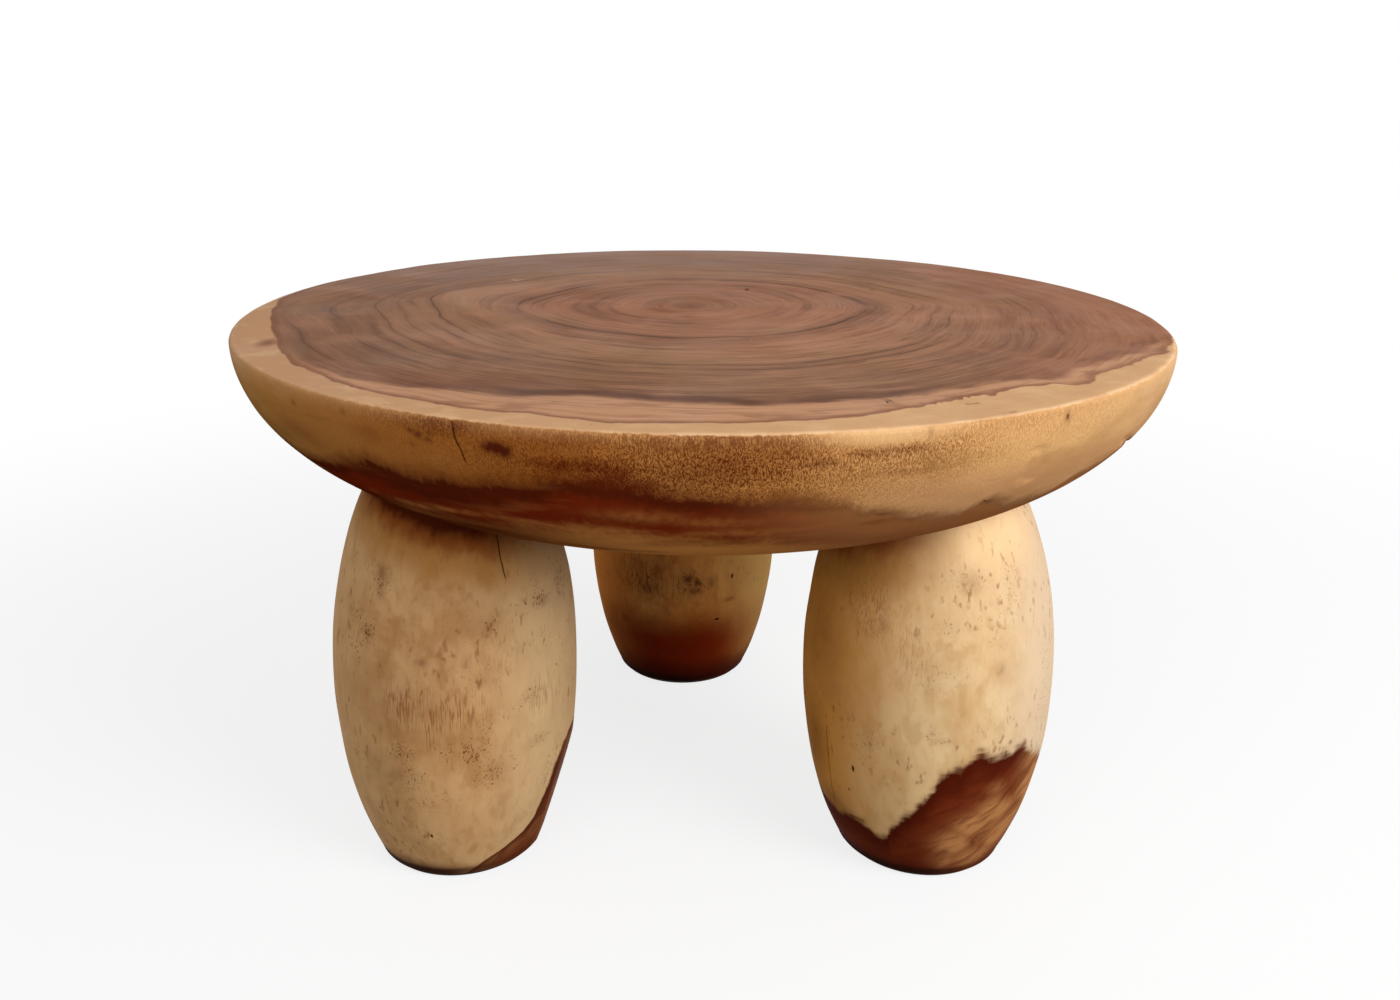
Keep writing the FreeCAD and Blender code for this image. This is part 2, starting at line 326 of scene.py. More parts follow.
TOP_KNOTS = [
    Mark((-132, -402, 433), (9, 10, 4.5), 1.6),
    Mark((-124, -405, 432), (4, 8, 5.5), 1.6),
    Mark((-184, -382, 435), (4, 8, 3), 1.10),
    Mark((-178, -384, 432), (3, 8, 2.5), 0.80),
    Mark((-190, -379, 437), (3, 8, 2), 0.70),
    Mark((-176, -386, 437), (5, 8, 2), 0.55),
    Mark((-190, -377, 427), (3, 8, 2), 0.55),
    Mark((-291, -308, 436), (2, 6, 2), 0.60),
    Mark((-244, -348, 441), (2, 6, 3), 0.50),
    Mark((252, -342, 441), (3, 6, 5), 0.60),
    Mark((123, -379, 382), (7, 8, 2.5), 0.65),
    Mark((143, -362, 372), (5, 8, 3), 0.60),
    Mark((148, -398, 445), (2, 8, 5), 0.70),
    Mark((200, -342, 379), (6, 8, 3), 0.65),
    Mark((74, -416, 429), (8, 8, 2.5), 0.40),
]
TOP_STAINS = [
    Mark((-224, -358, 429), (16, 16, 7), 0.32),
    Mark((-290, -290, 410), (30, 40, 9), 0.30),
    Mark((-230, -330, 391), (22, 24, 7), 0.90),
    Mark((-205, -342, 388), (22, 24, 8), 1.15),
    Mark((-184, -353, 385), (20, 20, 9), 1.20),
    Mark((-163, -366, 386), (20, 20, 8), 1.20),
    Mark((-140, -378, 389), (18, 20, 7), 1.10),
    Mark((-114, -391, 397), (20, 20, 6), 0.90),
    Mark((-190, -300, 345), (40, 30, 5), 0.95),
    Mark((-160, -325, 350), (30, 30, 4), 0.70),
    Mark((-101, -410, 425), (10, 14, 4.5), 0.90),
    Mark((-87, -412, 424), (14, 14, 5.5), 1.20),
    Mark((-69, -416, 425), (16, 14, 6), 1.30),
    Mark((-53, -417, 421), (11, 14, 8), 1.30),
    Mark((-60, -413, 412), (20, 14, 5), 1.50),
    Mark((-42, -414, 411), (15, 14, 6), 1.30),
    Mark((-90, -412, 440), (22, 16, 7), 0.40),
    Mark((28, -422, 430), (34, 16, 11), 0.55),
    Mark((8, -425, 441), (34, 16, 6), 0.40),
    Mark((60, -418, 434), (20, 16, 9), 0.45),
    Mark((107, -410, 434), (14, 16, 3), 0.75),
    Mark((130, -403, 435), (18, 16, 2.5), 0.75),
    Mark((77, -416, 429), (12, 14, 4), 0.55),
    Mark((130, -399, 419), (30, 16, 2), 0.30),
    Mark((-174, -388, 445), (12, 12, 5), 0.50),
    Mark((-156, -394, 445), (9, 12, 5), 0.45),
    Mark((-228, 152, 450), (26, 6, 5), 0.40),
]
TOP_SWIRLS = [
    Mark((-36, -400, 386), (34, 24, 6), 0.35),
    Mark((10, -398, 382), (30, 24, 5), 0.35),
    Mark((-202, -326, 366), (18, 20, 3.5), 0.50),
    Mark((-178, -344, 370), (16, 20, 3), 0.55),
    Mark((-158, -354, 371), (16, 20, 3), 0.45),
    Mark((-138, -364, 373), (14, 20, 2.5), 0.35),
    Mark((-71, -382, 371), (30, 24, 4), 0.30),
    Mark((28, -387, 371), (34, 24, 5), 0.35),
    Mark((-21, -380, 364), (30, 24, 4), 0.35),
]
TOP_PORES = [
    Mark((0, -425, 425), (210, 70, 36), 1.0),
    Mark((130, -400, 432), (130, 70, 24), 0.9),
    Mark((-165, -385, 442), (70, 50, 9), 0.8),
    Mark((240, -350, 438), (80, 60, 16), 0.7),
]
LEG_KNOTS = {
    "front_left": [
        Mark((-148, -221, 302), (6, 8, 4), 0.9),
        Mark((-251, -248, 278), (3, 9, 11), 0.35),
        Mark((-251, -251, 264), (3, 9, 3), 0.40),
        Mark((-263, -251, 231), (5, 9, 4), 0.35),
        Mark((-129, -219, 246), (6, 9, 4), 0.30),
        Mark((-219, -267, 214), (5, 8, 3), 0.45),
        Mark((-166, -254, 237), (3, 8, 6), 0.35),
        Mark((-184, -264, 212), (3, 8, 5), 0.35),
    ],
    "front_right": [
        Mark((241, -254, 208), (3, 6, 5), 0.4),
    ],
    "back": [
        Mark((-13, 80, 140), (7, 10, 5), 0.9),
        Mark((-4, 80, 136), (5, 10, 6), 0.9),
        Mark((-4, 81, 126), (8, 10, 4), 0.8),
        Mark((12, 84, 134), (4, 10, 7), 0.5),
        Mark((30, 96, 110), (9, 10, 3), 0.5),
        Mark((-83, 109, 82), (4, 10, 5), 0.6),
        Mark((-57, 87, 126), (9, 12, 6), 0.5),
    ],
}
# High on the front left leg and down the front right leg's left side these marks are painted shade
LEG_STAINS_AND_SHADE = {
    "front_left": [
        Mark((-208, -250, 296), (50, 40, 30), 0.25),
        Mark((-180, -255, 262), (30, 30, 50), 0.25),
        Mark((-172, -247, 286), (22, 24, 34), 0.30),
        Mark((-205, -268, 226), (50, 40, 40), 0.22),
        Mark((-216, -262, 268), (24, 24, 34), 0.25),
        Mark((-240, -266, 184), (22, 20, 30), 0.35),
        Mark((-212, -270, 170), (22, 20, 30), 0.25),
        Mark((-251, -248, 276), (8, 12, 18), 0.25),
        Mark((-252, -259, 113), (22, 16, 18), 0.30),
        Mark((-182, -262, 252), (14, 14, 26), 0.20),
    ],
    "front_right": [
        Mark((116, -195, 290), (28, 46, 44), 0.55),
        Mark((106, -200, 205), (16, 44, 60), 0.45),
        Mark((102, -192, 110), (10, 34, 60), 0.45),
        Mark((118, -200, 58), (12, 30, 16), 0.55),
        Mark((148, -244, 242), (5, 12, 8), 0.30),
        Mark((213, -248, 280), (10, 14, 8), 0.25),
    ],
    "back": [
        Mark((-6, 89, 66), (42, 40, 22), 0.75),
        Mark((-60, 98, 70), (36, 40, 24), 0.60),
        Mark((-60, 92, 138), (36, 30, 30), 0.30),
        Mark((-95, 120, 70), (22, 40, 40), 0.50),
    ],
}
LEG_PORES = {
    "front_left": [
        Mark((-263, -251, 233), (9, 16, 11), 1.0),
        Mark((-275, -240, 244), (10, 16, 7), 0.9),
        Mark((-251, -249, 276), (9, 14, 14), 0.8),
        Mark((-132, -220, 250), (12, 16, 7), 1.0),
        Mark((-118, -192, 256), (7, 16, 16), 0.9),
        Mark((-166, -253, 240), (8, 14, 10), 0.8),
        Mark((-180, -264, 135), (14, 16, 11), 1.0),
        Mark((-168, -258, 112), (13, 16, 13), 0.9),
        Mark((-236, -266, 135), (13, 16, 8), 1.0),
        Mark((-229, -265, 112), (12, 16, 13), 0.8),
        Mark((-200, -268, 136), (10, 16, 9), 0.9),
        Mark((-135, -237, 172), (9, 16, 6), 0.9),
        Mark((-132, -231, 128), (9, 16, 5), 0.9),
        Mark((-205, -266, 240), (60, 24, 30), 0.22),
        Mark((-180, -264, 200), (60, 24, 24), 0.22),
        Mark((-215, -262, 90), (50, 24, 16), 0.30),
    ],
    "front_right": [
        Mark((139, -245, 138), (7, 14, 11), 1.0),
        Mark((187, -263, 156), (4, 14, 8), 0.8),
        Mark((196, -263, 150), (12, 14, 3), 0.9),
        Mark((213, -248, 281), (22, 20, 12), 0.45),
        Mark((250, -235, 281), (14, 20, 12), 0.45),
        Mark((200, -258, 244), (16, 16, 6), 0.45),
        Mark((137, -238, 233), (16, 16, 10), 0.6),
        Mark((187, -262, 205), (30, 18, 20), 0.4),
    ],
    "back": [
        Mark((-8, 80, 134), (20, 16, 14), 1.0),
        Mark((-60, 88, 138), (40, 26, 24), 0.6),
    ],
}
LEG_DASHES = {
    "front_left": [
        Mark((-234, -266, 178), (15, 24, 20), 1.0),
        Mark((-212, -270, 164), (7, 24, 22), 1.0),
        Mark((-188, -268, 172), (20, 24, 18), 1.0),
        Mark((-128, -228, 168), (14, 24, 18), 0.5),
        Mark((-158, -254, 215), (12, 24, 18), 0.4),
    ],
    "front_right": [
        Mark((137, -236, 260), (18, 30, 34), 0.6),
        Mark((168, -254, 222), (12, 20, 24), 0.4),
    ],
    "back": [
        Mark((-62, 88, 140), (42, 30, 26), 1.0),
        Mark((-30, 80, 128), (26, 24, 16), 0.8),
    ],
}

# The paler swirls within the heartwood of the front right leg
HEART_SWIRLS = [
    Mark((232, -244, 62), (18, 30, 13), 1.5),
    Mark((214, -248, 44), (15, 30, 14), 1.5),
    Mark((208, -244, 22), (13, 30, 14), 1.2),
    Mark((248, -236, 72), (18, 30, 16), 1.5),
    Mark((258, -226, 50), (26, 34, 24), 1.6),
    Mark((282, -215, 84), (18, 34, 30), 1.4),
    Mark((232, -232, 24), (22, 30, 14), 1.2),
    Mark((246, -240, 98), (9, 20, 8), 0.5),
    Mark((284, -214, 108), (16, 34, 24), 1.3),
    Mark((292, -196, 70), (24, 40, 40), 1.5),
]


# A place where the side of a leg is flat, as the point it passes through and the way it faces
class Flat:
    def __init__(self, point, facing):
        self.point = mm(*point)
        self.facing = Vector(facing).normalized()


LEG_FLATS = {"front_left": [Flat((-127.5, -174, 50), (0.955, -0.10, -0.28))]}


def flatten(bm, flats):
    """Planes the side down to each flat."""
    for flat in flats:
        for vert in bm.verts:
            beyond = (vert.co - flat.point).dot(flat.facing)
            if beyond > 0:
                vert.co -= flat.facing * beyond


def vertex_tree(bm):
    """A tree to look up the points of the mesh by their place."""
    bm.verts.index_update()
    bm.verts.ensure_lookup_table()
    tree = kdtree.KDTree(len(bm.verts))
    for vert in bm.verts:
        tree.insert(vert.co, vert.index)
    tree.balance()
    return tree


def refine(bm, cuts, passes=CUT_PASSES):
    """Divides the mesh round each cut, more closely with each pass."""
    for number in range(passes):
        tree = vertex_tree(bm)
        reach = CUT_LIPS * (passes - number)
        near = set()
        for cut in cuts:
            for point in cut.middle_points(spacing=CUT_LIPS):
                for _, index, _ in tree.find_range(point, reach + cut.half_width):
                    near.add(bm.verts[index])
        edges = [edge for edge in bm.edges if edge.verts[0] in near and edge.verts[1] in near]
        bmesh.ops.subdivide_edges(bm, edges=edges, cuts=1, use_grid_fill=True)


def carve(bm, cuts):
    """Sinks each cut into the surface, and notes on the mesh how deep in it a point is."""
    layer = bm.verts.layers.float.get("cut") or bm.verts.layers.float.new("cut")
    bm.normal_update()
    tree = vertex_tree(bm)
    sunk = {}
    for cut in cuts:
        for point in cut.middle_points(spacing=cut.half_width):
            for _, index, _ in tree.find_range(point, cut.half_width * CUT_SEARCH):
                vert = bm.verts[index]
                closeness = cut.closeness(vert.co, vert.normal)
                depth = cut.depth * min(1.0, closeness * CUT_STEEPNESS)
                if depth > sunk.get(index, (0.0, 0.0))[0]:
                    sunk[index] = (depth, min(1.0, closeness * CUT_DARKENING) * cut.dark)
    inward = {index: bm.verts[index].normal.copy() for index in sunk}
    for index, (depth, dark) in sunk.items():
        vert = bm.verts[index]
        vert.co -= inward[index] * depth
        vert[layer] = dark


def stain(bm, layer_name, marks):
    """Notes on the mesh how strong the soft marks are at each of its points."""
    layer = bm.verts.layers.float.new(layer_name)
    tree = vertex_tree(bm)
    for mark in marks:
        for _, index, _ in tree.find_range(mark.middle, MARK_REACH * max(mark.half_sizes)):
            vert = bm.verts[index]
            vert[layer] = max(vert[layer], mark.closeness(vert.co))


def undulate(bm, swell, mask):
    """Slight unevenness left by carving by hand."""
    bm.normal_update()
    shifts = []
    for vert in bm.verts:
        broad = noise.noise(vert.co * BROAD_WAVES)
        close = noise.noise(vert.co * CLOSE_WAVES + CLOSE_WAVE_SHIFT)
        shifts.append((broad + CLOSE_WAVE_SHARE * close) * swell * mask(vert.co))
    for vert, shift in zip(bm.verts, shifts):
        vert.co += vert.normal * shift


class Nodes:
    """A tree of nodes. Each method adds to it and gives back what comes out."""

    def __init__(self, tree):
        self.nodes = tree.nodes
        self.links = tree.links

    def give(self, socket, source):
        """Feeds a socket from what comes out of a node, or sets it to a constant."""
        if isinstance(source, bpy.types.NodeSocket):
            self.links.new(source, socket)
        else:
            socket.default_value = source

    def feed(self, node, sources):
        """Gives a node's sockets, by their names, what they take."""
        for socket, source in sources.items():
            self.give(node.inputs[socket], source)
        return node

    def add(self, kind, *sources, **settings):
        """A new node, with what its sockets take in their order."""
        node = self.nodes.new(f"ShaderNode{kind}")
        for name, setting in settings.items():
            setattr(node, name, setting)
        for socket, source in zip(node.inputs, sources):
            self.give(socket, source)
        return node

    def calc(self, operation, *sources):
        return self.add("Math", *sources, operation=operation).outputs[0]

    def plus(self, first, second):
        return self.calc("ADD", first, second)

    def times(self, product, *factors):
        for factor in factors:
            product = self.calc("MULTIPLY", product, factor)
        return product

    def vector_calc(self, operation, *sources):
        return self.add("VectorMath", *sources, operation=operation).outputs[0]

    def length(self, vector):
        return self.add("VectorMath", vector, operation="LENGTH").outputs["Value"]

    def ease(self, value, low, high, to_low=0.0, to_high=1.0):
        """A smooth step between low and high."""
        node = self.add("MapRange", value, low, high, to_low, to_high)
        node.interpolation_type = "SMOOTHSTEP"
        return node.outputs[0]

    def mix(self, share, first, second):
        node = self.add("Mix", data_type="RGBA")
        self.give(node.inputs["Factor"], share)
        self.give(node.inputs[6], first)
        self.give(node.inputs[7], second)
        return node.outputs[2]


class Finish(Nodes):
    """The nodes of one material, with its shader and the place on the piece."""

    def __init__(self, name, settings):
        self.material = bpy.data.materials.new(name)
        self.material.use_nodes = True
        super().__init__(self.material.node_tree)
        self.shader = self.feed(self.nodes["Principled BSDF"], settings)
        self.place = self.add("TexCoord").outputs["Object"]

    def split(self, place):
        return self.add("SeparateXYZ", place).outputs[:]

    def joined(self, *parts):
        return self.add("CombineXYZ", *parts).outputs[0]

    def stretched(self, place, *scales):
        return self.vector_calc("MULTIPLY", place, scales)

    def moved(self, place, *shifts):
        return self.vector_calc("ADD", place, shifts)

    def grain(self, place, scale, detail=2.0, along=None):
        """Soft noise about 0.5. Along is a fourth coordinate, already in the noise's own scale."""
        node = self.add("TexNoise", noise_dimensions="3D" if along is None else "4D")
        self.feed(node, {"Vector": place, "Scale": scale, "Detail": detail})
        if along is not None:
            self.give(node.inputs["W"], along)
        return node.outputs["Fac"]

    def stirred(self, place, scale, amount):
        """The place, shifted this way and that by soft noise."""
        node = self.feed(self.add("TexNoise"), {"Vector": place, "Scale": scale})
        swayed = self.vector_calc("SUBTRACT", node.outputs["Color"], (0.5, 0.5, 0.5))
        return self.vector_calc("MULTIPLY_ADD", swayed, (amount, amount, amount), place)

    def near(self, place, centre, sizes):
        """1 at a centre, easing to 0 at its sizes away from it."""
        away = self.vector_calc("SUBTRACT", place, centre)
        away = self.length(self.vector_calc("DIVIDE", away, sizes))
        return self.ease(away, 1.0, 0.0)

    def swing(self, value, amount):
        """Noise about 0.5 turned into a shift of up to amount each way."""
        return self.calc("MULTIPLY_ADD", value, 2 * amount, -amount)

    def ramp(self, value, stops, interpolation="EASE"):
        """A colour, or a level where the stops are numbers, by a value from 0 to 1."""
        node = self.add("ValToRGB", value)
        node.color_ramp.interpolation = interpolation
        elements = node.color_ramp.elements
        while len(elements) < len(stops):
            elements.new(1.0)
        for element, (position, tone) in zip(elements, stops):
            element.position = position
            element.color = tone if isinstance(tone, tuple) else (tone, tone, tone, 1.0)
        return node.outputs["Color"]

    def wash(self, tone, colour, value, low, high, share=1.0, within=None):
        """Tints a tone as a value goes from low to high, up to a share and only within a mask."""
        strength = self.ease(value, low, high, 0.0, share)
        if within is not None:
            strength = self.times(strength, within)
        return self.mix(strength, tone, colour)

    def note(self, name):
        """A value that was noted on the mesh."""
        return self.add("Attribute", attribute_name=name).outputs["Fac"]

    def bump(self, height, distance, strength):
        sources = {"Height": height, "Distance": distance, "Strength": strength}
        return self.feed(self.add("Bump"), sources).outputs["Normal"]


# Azimuths are in degrees from the front, positive to the right. On the face the heartwood's edge
# is given as a share of the top's radius, on the belly as a depth below the face in millimetres.
FACE_HEART_EDGE = [
    (-180, 1.030), (-118, 1.030), (-104, 0.995), (-96, 0.986), (-88, 0.957), (-81, 0.933),
    (-73, 0.919), (-66, 0.910), (-57, 0.924), (-50, 0.938), (-45, 0.930), (-36, 0.948),
    (-27, 0.937), (-8, 0.946), (4, 0.939), (13, 0.924), (21, 0.906), (26, 0.890),
    (29, 0.879), (33, 0.891), (38, 0.887), (42, 0.903), (44, 0.938), (49, 0.920),
    (56, 0.932), (60, 0.950), (66, 0.975), (74, 0.998), (84, 1.030), (180, 1.030),
]
BELLY_HEART_EDGE = [
    (-180, 10), (-125, 20), (-90, 50), (-60, 66), (-48, 68), (-42, 63), (-37, 52), (-34, 47),
    (-29, 52), (-22, 51), (-16, 44), (-12, 40), (-8, 38), (-5, 44), (-2, 48), (5.5, 50),
    (7, 47), (9, 51), (12.6, 57), (16, 67), (18, 68), (22, 78), (28, 86), (30, 74),
    (36, 86), (41.5, 90), (45, 72), (60, 66), (90, 45), (125, 16), (180, 10),
]
# How wide the paler band inside the heartwood's edge is, in millimetres
FACE_BAND_REACH = [
    (-180, 0), (-85, 0), (-55, 8), (-43, 13), (-36, 28), (-25, 40), (-12, 58), (0, 50),
    (15, 38), (24, 28), (34, 24), (56, 20), (66, 16), (80, 0), (180, 0),
]
# A ramp's levels lie from 0 to 1, so millimetres are given to it as shares of this length
REACH_SCALE = 100

# The rings drift from the pith to the middle of the top: how far back their centre lies, in
# units of RING_DRIFT, by how far out they are
PITH_ACROSS = -0.013
RING_DRIFT = 0.030
RING_DRIFTS = [(0.0, 0.60), (0.36, 0.90), (0.58, 0.35), (0.95, 0.0)]

# Where the rings bulge: the middle of the place, how far it reaches and by how much, in
# millimetres
RING_BULGES = [
    ((-265, 75, 450), 120, -30),
    ((-200, -100, 450), 90, 10),
    ((-165, 10, 450), 80, -12),
    ((-390, 0, 450), 140, -31),
    ((166, 20, 450), 70, -7),
    ((226, 40, 450), 60, -15),
    ((60, -240, 450), 120, -7),
    ((300, -60, 450), 120, 8),
]

# How closely the rings sway on their way round, and by how much in metres
RING_SWAYS = [(5, 0.010), (17, 0.0034), (70, 0.0008)]

# Thin dark growth lines: reach as a share of the radius, half width in millimetres, strength,
# and the side of the top where the line shows
RING_LINES = [
    (0.075, 1.6, 0.25, "all"),
    (0.190, 1.8, 0.25, "all"),
    (0.262, 1.6, 0.25, "all"),
    (0.322, 1.7, 0.60, "left"),
    (0.345, 2.0, 0.75, "left"),
    (0.376, 3.4, 1.00, "all"),
    (0.470, 1.6, 0.35, "all"),
    (0.530, 2.0, 0.55, "right"),
    (0.572, 2.4, 0.80, "all"),
    (0.602, 3.0, 0.75, "front"),
    (0.640, 1.8, 0.40, "all"),
    (0.680, 2.2, 0.60, "left"),
    (0.714, 2.6, 0.50, "front"),
    (0.738, 1.4, 0.50, "right"),
    (0.760, 3.0, 0.50, "all"),
    (0.806, 1.4, 0.50, "right"),
    (0.862, 3.0, 0.65, "left"),
]

# How much wider and fainter than a growth line the shade round it is
SHADE_WIDTH_SHARE = 3.5
SHADE_STRENGTH_SHARE = 0.4

# Places with a look of their own, as their middle and how far they reach across, deep and high:
# on the face a darker place, an edge combed by the grain, a flame-shaped mark and a scuff, on
# the belly's rim a bare place, and on the front right leg a place of painted light under the top
DEEP_PLACE = mm(-160, -304, 0), mm(130, 50, 1000)
COMBED_PLACE = mm(185, -340, 450), mm(70, 50, 1000)
FLAME_PLACE = mm(-356, -172, 0), mm(14, 28, 1000)
SCUFF_PLACE = mm(-206, 165, 450), mm(12, 12, 1000)
BARE_PLACE = mm(121, -404, 447), mm(85, 60, 13)
PAINTED_LIGHT_PLACE = mm(228, -232, 312), mm(75, 90, 55)

# How much the oiled wood shines, and the tones of the top
FACE_GLOSS = 0.05
BELLY_GLOSS = 0.0
LEG_GLOSS = 0.008
FACE_RINGS = [
    (0.000, paint(122, 76, 50)),
    (0.022, paint(138, 85, 56)),
    (0.055, paint(154, 99, 67)),
    (0.095, paint(148, 92, 62)),
    (0.140, paint(162, 107, 76)),
    (0.200, paint(157, 103, 74)),
    (0.280, paint(164, 110, 80)),
    (0.350, paint(158, 106, 78)),
    (0.400, paint(146, 98, 72)),
    (0.470, paint(170, 120, 88)),
    (0.540, paint(158, 112, 80)),
    (0.620, paint(150, 105, 76)),
    (0.700, paint(138, 96, 69)),
    (0.790, paint(130, 90, 65)),
    (0.850, paint(144, 99, 73)),
    (1.000, paint(156, 108, 80)),
]
RING_DARK = paint(98, 60, 40)
RING_PALE = paint(188, 138, 102)
LINE_DARK = paint(80, 46, 30)
EDGE_BAND = paint(202, 150, 112)
EDGE_LINE = paint(126, 76, 50)
FACE_SAP_LEFT = paint(195, 148, 107)
FACE_SAP_RIGHT = paint(212, 166, 118)
FACE_SAP_PALE_AND_HIGHLIGHT = paint(228, 188, 144)
FACE_GREY_AND_SHEEN = paint(160, 128, 112)
FACE_RED = paint(168, 102, 66)
FACE_OLIVE = paint(142, 104, 70)
FACE_DEEP = paint(112, 60, 30)
FACE_PINK = paint(184, 130, 102)
FACE_DULL = paint(122, 84, 60)
BELLY_SAP = [
    (-180, paint(160, 112, 66)),
    (-90, paint(152, 104, 50)),
    (-52, paint(172, 120, 62)),
    (-28, paint(168, 104, 46)),
    (-12, paint(161, 95, 35)),
    (-3, paint(188, 126, 64)),
    (6, paint(195, 131, 67)),
    (17, paint(208, 154, 97)),
    (32, paint(216, 167, 109)),
    (60, paint(208, 166, 120)),
    (180, paint(160, 112, 66)),
]
BELLY_FUR = [
    (-180, paint(120, 76, 38)),
    (-50, paint(124, 76, 32)),
    (-28, paint(104, 52, 18)),
    (6, paint(94, 42, 14)),
    (18, paint(126, 76, 34)),
    (32, paint(146, 98, 52)),
    (180, paint(120, 76, 38)),
]
BELLY_SAP_TINT_AND_RIM_HIGHLIGHT = paint(206, 156, 104)
BELLY_SAP_PALE = paint(222, 180, 128)
BELLY_SAP_LOW = paint(204, 150, 104)
BELLY_STAIN = paint(88, 28, 9)
BELLY_EDGE_AND_SHADE = paint(84, 29, 10)
BELLY_RED = paint(116, 36, 12)
BELLY_LOW = paint(210, 140, 72)
BELLY_BROWN = paint(176, 116, 68)

# The belly's heartwood from its edge downwards, over the length that its change of tone takes
HEART_FADE = 0.1
BELLY_HEART_FADE = [
    (0.00, BELLY_EDGE_AND_SHADE),
    (0.05, BELLY_EDGE_AND_SHADE),
    (0.15, BELLY_RED),
    (0.30, BELLY_RED),
    (0.56, BELLY_LOW),
    (1.00, BELLY_LOW),
]

# Inside cuts, and the knots
CUT_DARK = paint(58, 18, 6)
KNOT_BROWN = paint(78, 30, 14)

# For each leg its pale, middle and brown tone; the back leg's are painted deeper and warmer, as in
# the shade under the top
LEG_TONES = {
    "front_left": (paint(202, 160, 111), paint(184, 140, 90), paint(152, 102, 54)),
    "front_right": (paint(220, 188, 142), paint(210, 172, 122), paint(186, 142, 88)),
    "back": (paint(218, 152, 80), paint(204, 126, 56), paint(160, 82, 30)),
}

# For each leg the tone of its right side, in painted light, and of its left side, in painted shade,
# each with its strength
LEG_LIT_AND_SHADED_SIDES = {
    "front_left": (paint(206, 178, 136), 0.55, paint(214, 170, 124), 0.50),
    "front_right": (paint(212, 187, 157), 0.80, paint(196, 130, 44), 0.88),
    "back": (paint(190, 150, 88), 0.85, paint(255, 156, 72), 0.90),
}

# Clouds of another tone in each leg
LEG_BLUSH = {
    "front_left": paint(186, 144, 98),
    "front_right": paint(208, 168, 128),
    "back": paint(204, 126, 56),
}

# Painted shade close under the top and painted light there on the front right leg, the back
# leg's plainer far side and the darker tone low on it, and painted shade at the feet
HEAD_SHADE_OCHRE = paint(158, 106, 46)
HEAD_SHADE_BROWN = paint(120, 56, 16)
HEAD_SHADE_DARK = paint(66, 18, 4)
HEAD_PAINTED_LIGHT = paint(247, 210, 160)
FAR_SIDE = paint(196, 150, 100)
BACK_LOW_BROWN = paint(128, 34, 6)
SOLE_SHADE = paint(34, 16, 8)

# The legs' marks and their heartwood
LEG_STAIN_TONE_AND_SHADE = paint(94, 40, 8)
LEG_DASH = paint(126, 72, 32)
LEG_DOT = paint(100, 50, 20)
LEG_DOT_SHARE = {"front_left": 0.80, "front_right": 0.50, "back": 0.80}
LEG_HEART_AND_SHADE_DARK = paint(72, 20, 7)
LEG_HEART_RED = paint(102, 40, 17)
LEG_HEART_PALE = paint(172, 116, 70)

# The foot pads, and the bright and dull tones of the metals
RUBBER_DARK = paint(24, 22, 21)
RUBBER_PALE = paint(44, 40, 37)
RUBBER_ROUGHNESS = 0.8
STEEL_BRIGHT = paint(176, 178, 180)
STEEL_DULL = paint(120, 118, 114)
STEEL_ROUGHNESS = 0.28
BRASS_BRIGHT = paint(206, 168, 96)
BRASS_DULL = paint(140, 108, 58)
BRASS_ROUGHNESS = 0.30


def turned_to_unit(wood, x, y):
    """The azimuth from the front, from 0 at the back through 0.5 at the front to 1."""
    azimuth = wood.calc("ARCTAN2", x, wood.times(y, -1.0))
    return wood.calc("MULTIPLY_ADD", azimuth, 1 / math.tau, 0.5)


def by_azimuth(stops, scale=1):
    """Stops of a ramp over the azimuth: colours, or levels as shares of a scale."""
    return [
        (degrees / 360 + 0.5, level if isinstance(level, tuple) else level / scale)
        for degrees, level in stops
    ]


def ring_distance(wood, x, y, reach, flat):
    """How far out in the log a place is. The rings are round neither the pith nor the rim."""
    rim_share = wood.calc("DIVIDE", reach, TOP_RADIUS)
    across = wood.calc("MULTIPLY_ADD", wood.calc("SUBTRACT", 1.0, rim_share), -PITH_ACROSS, x)
    along = wood.calc("MULTIPLY_ADD", wood.ramp(rim_share, RING_DRIFTS), -RING_DRIFT, y)
    ring = wood.length(wood.joined(across, along, 0.0))
    for middle, size, push in RING_BULGES:
        near = wood.near(wood.place, mm(*middle), mm(size, size, 1000))
        ring = wood.calc("MULTIPLY_ADD", near, push / 1000, ring)
    for scale, sway in RING_SWAYS:
        ring = wood.plus(ring, wood.swing(wood.grain(flat, scale, 1), sway))
    return ring


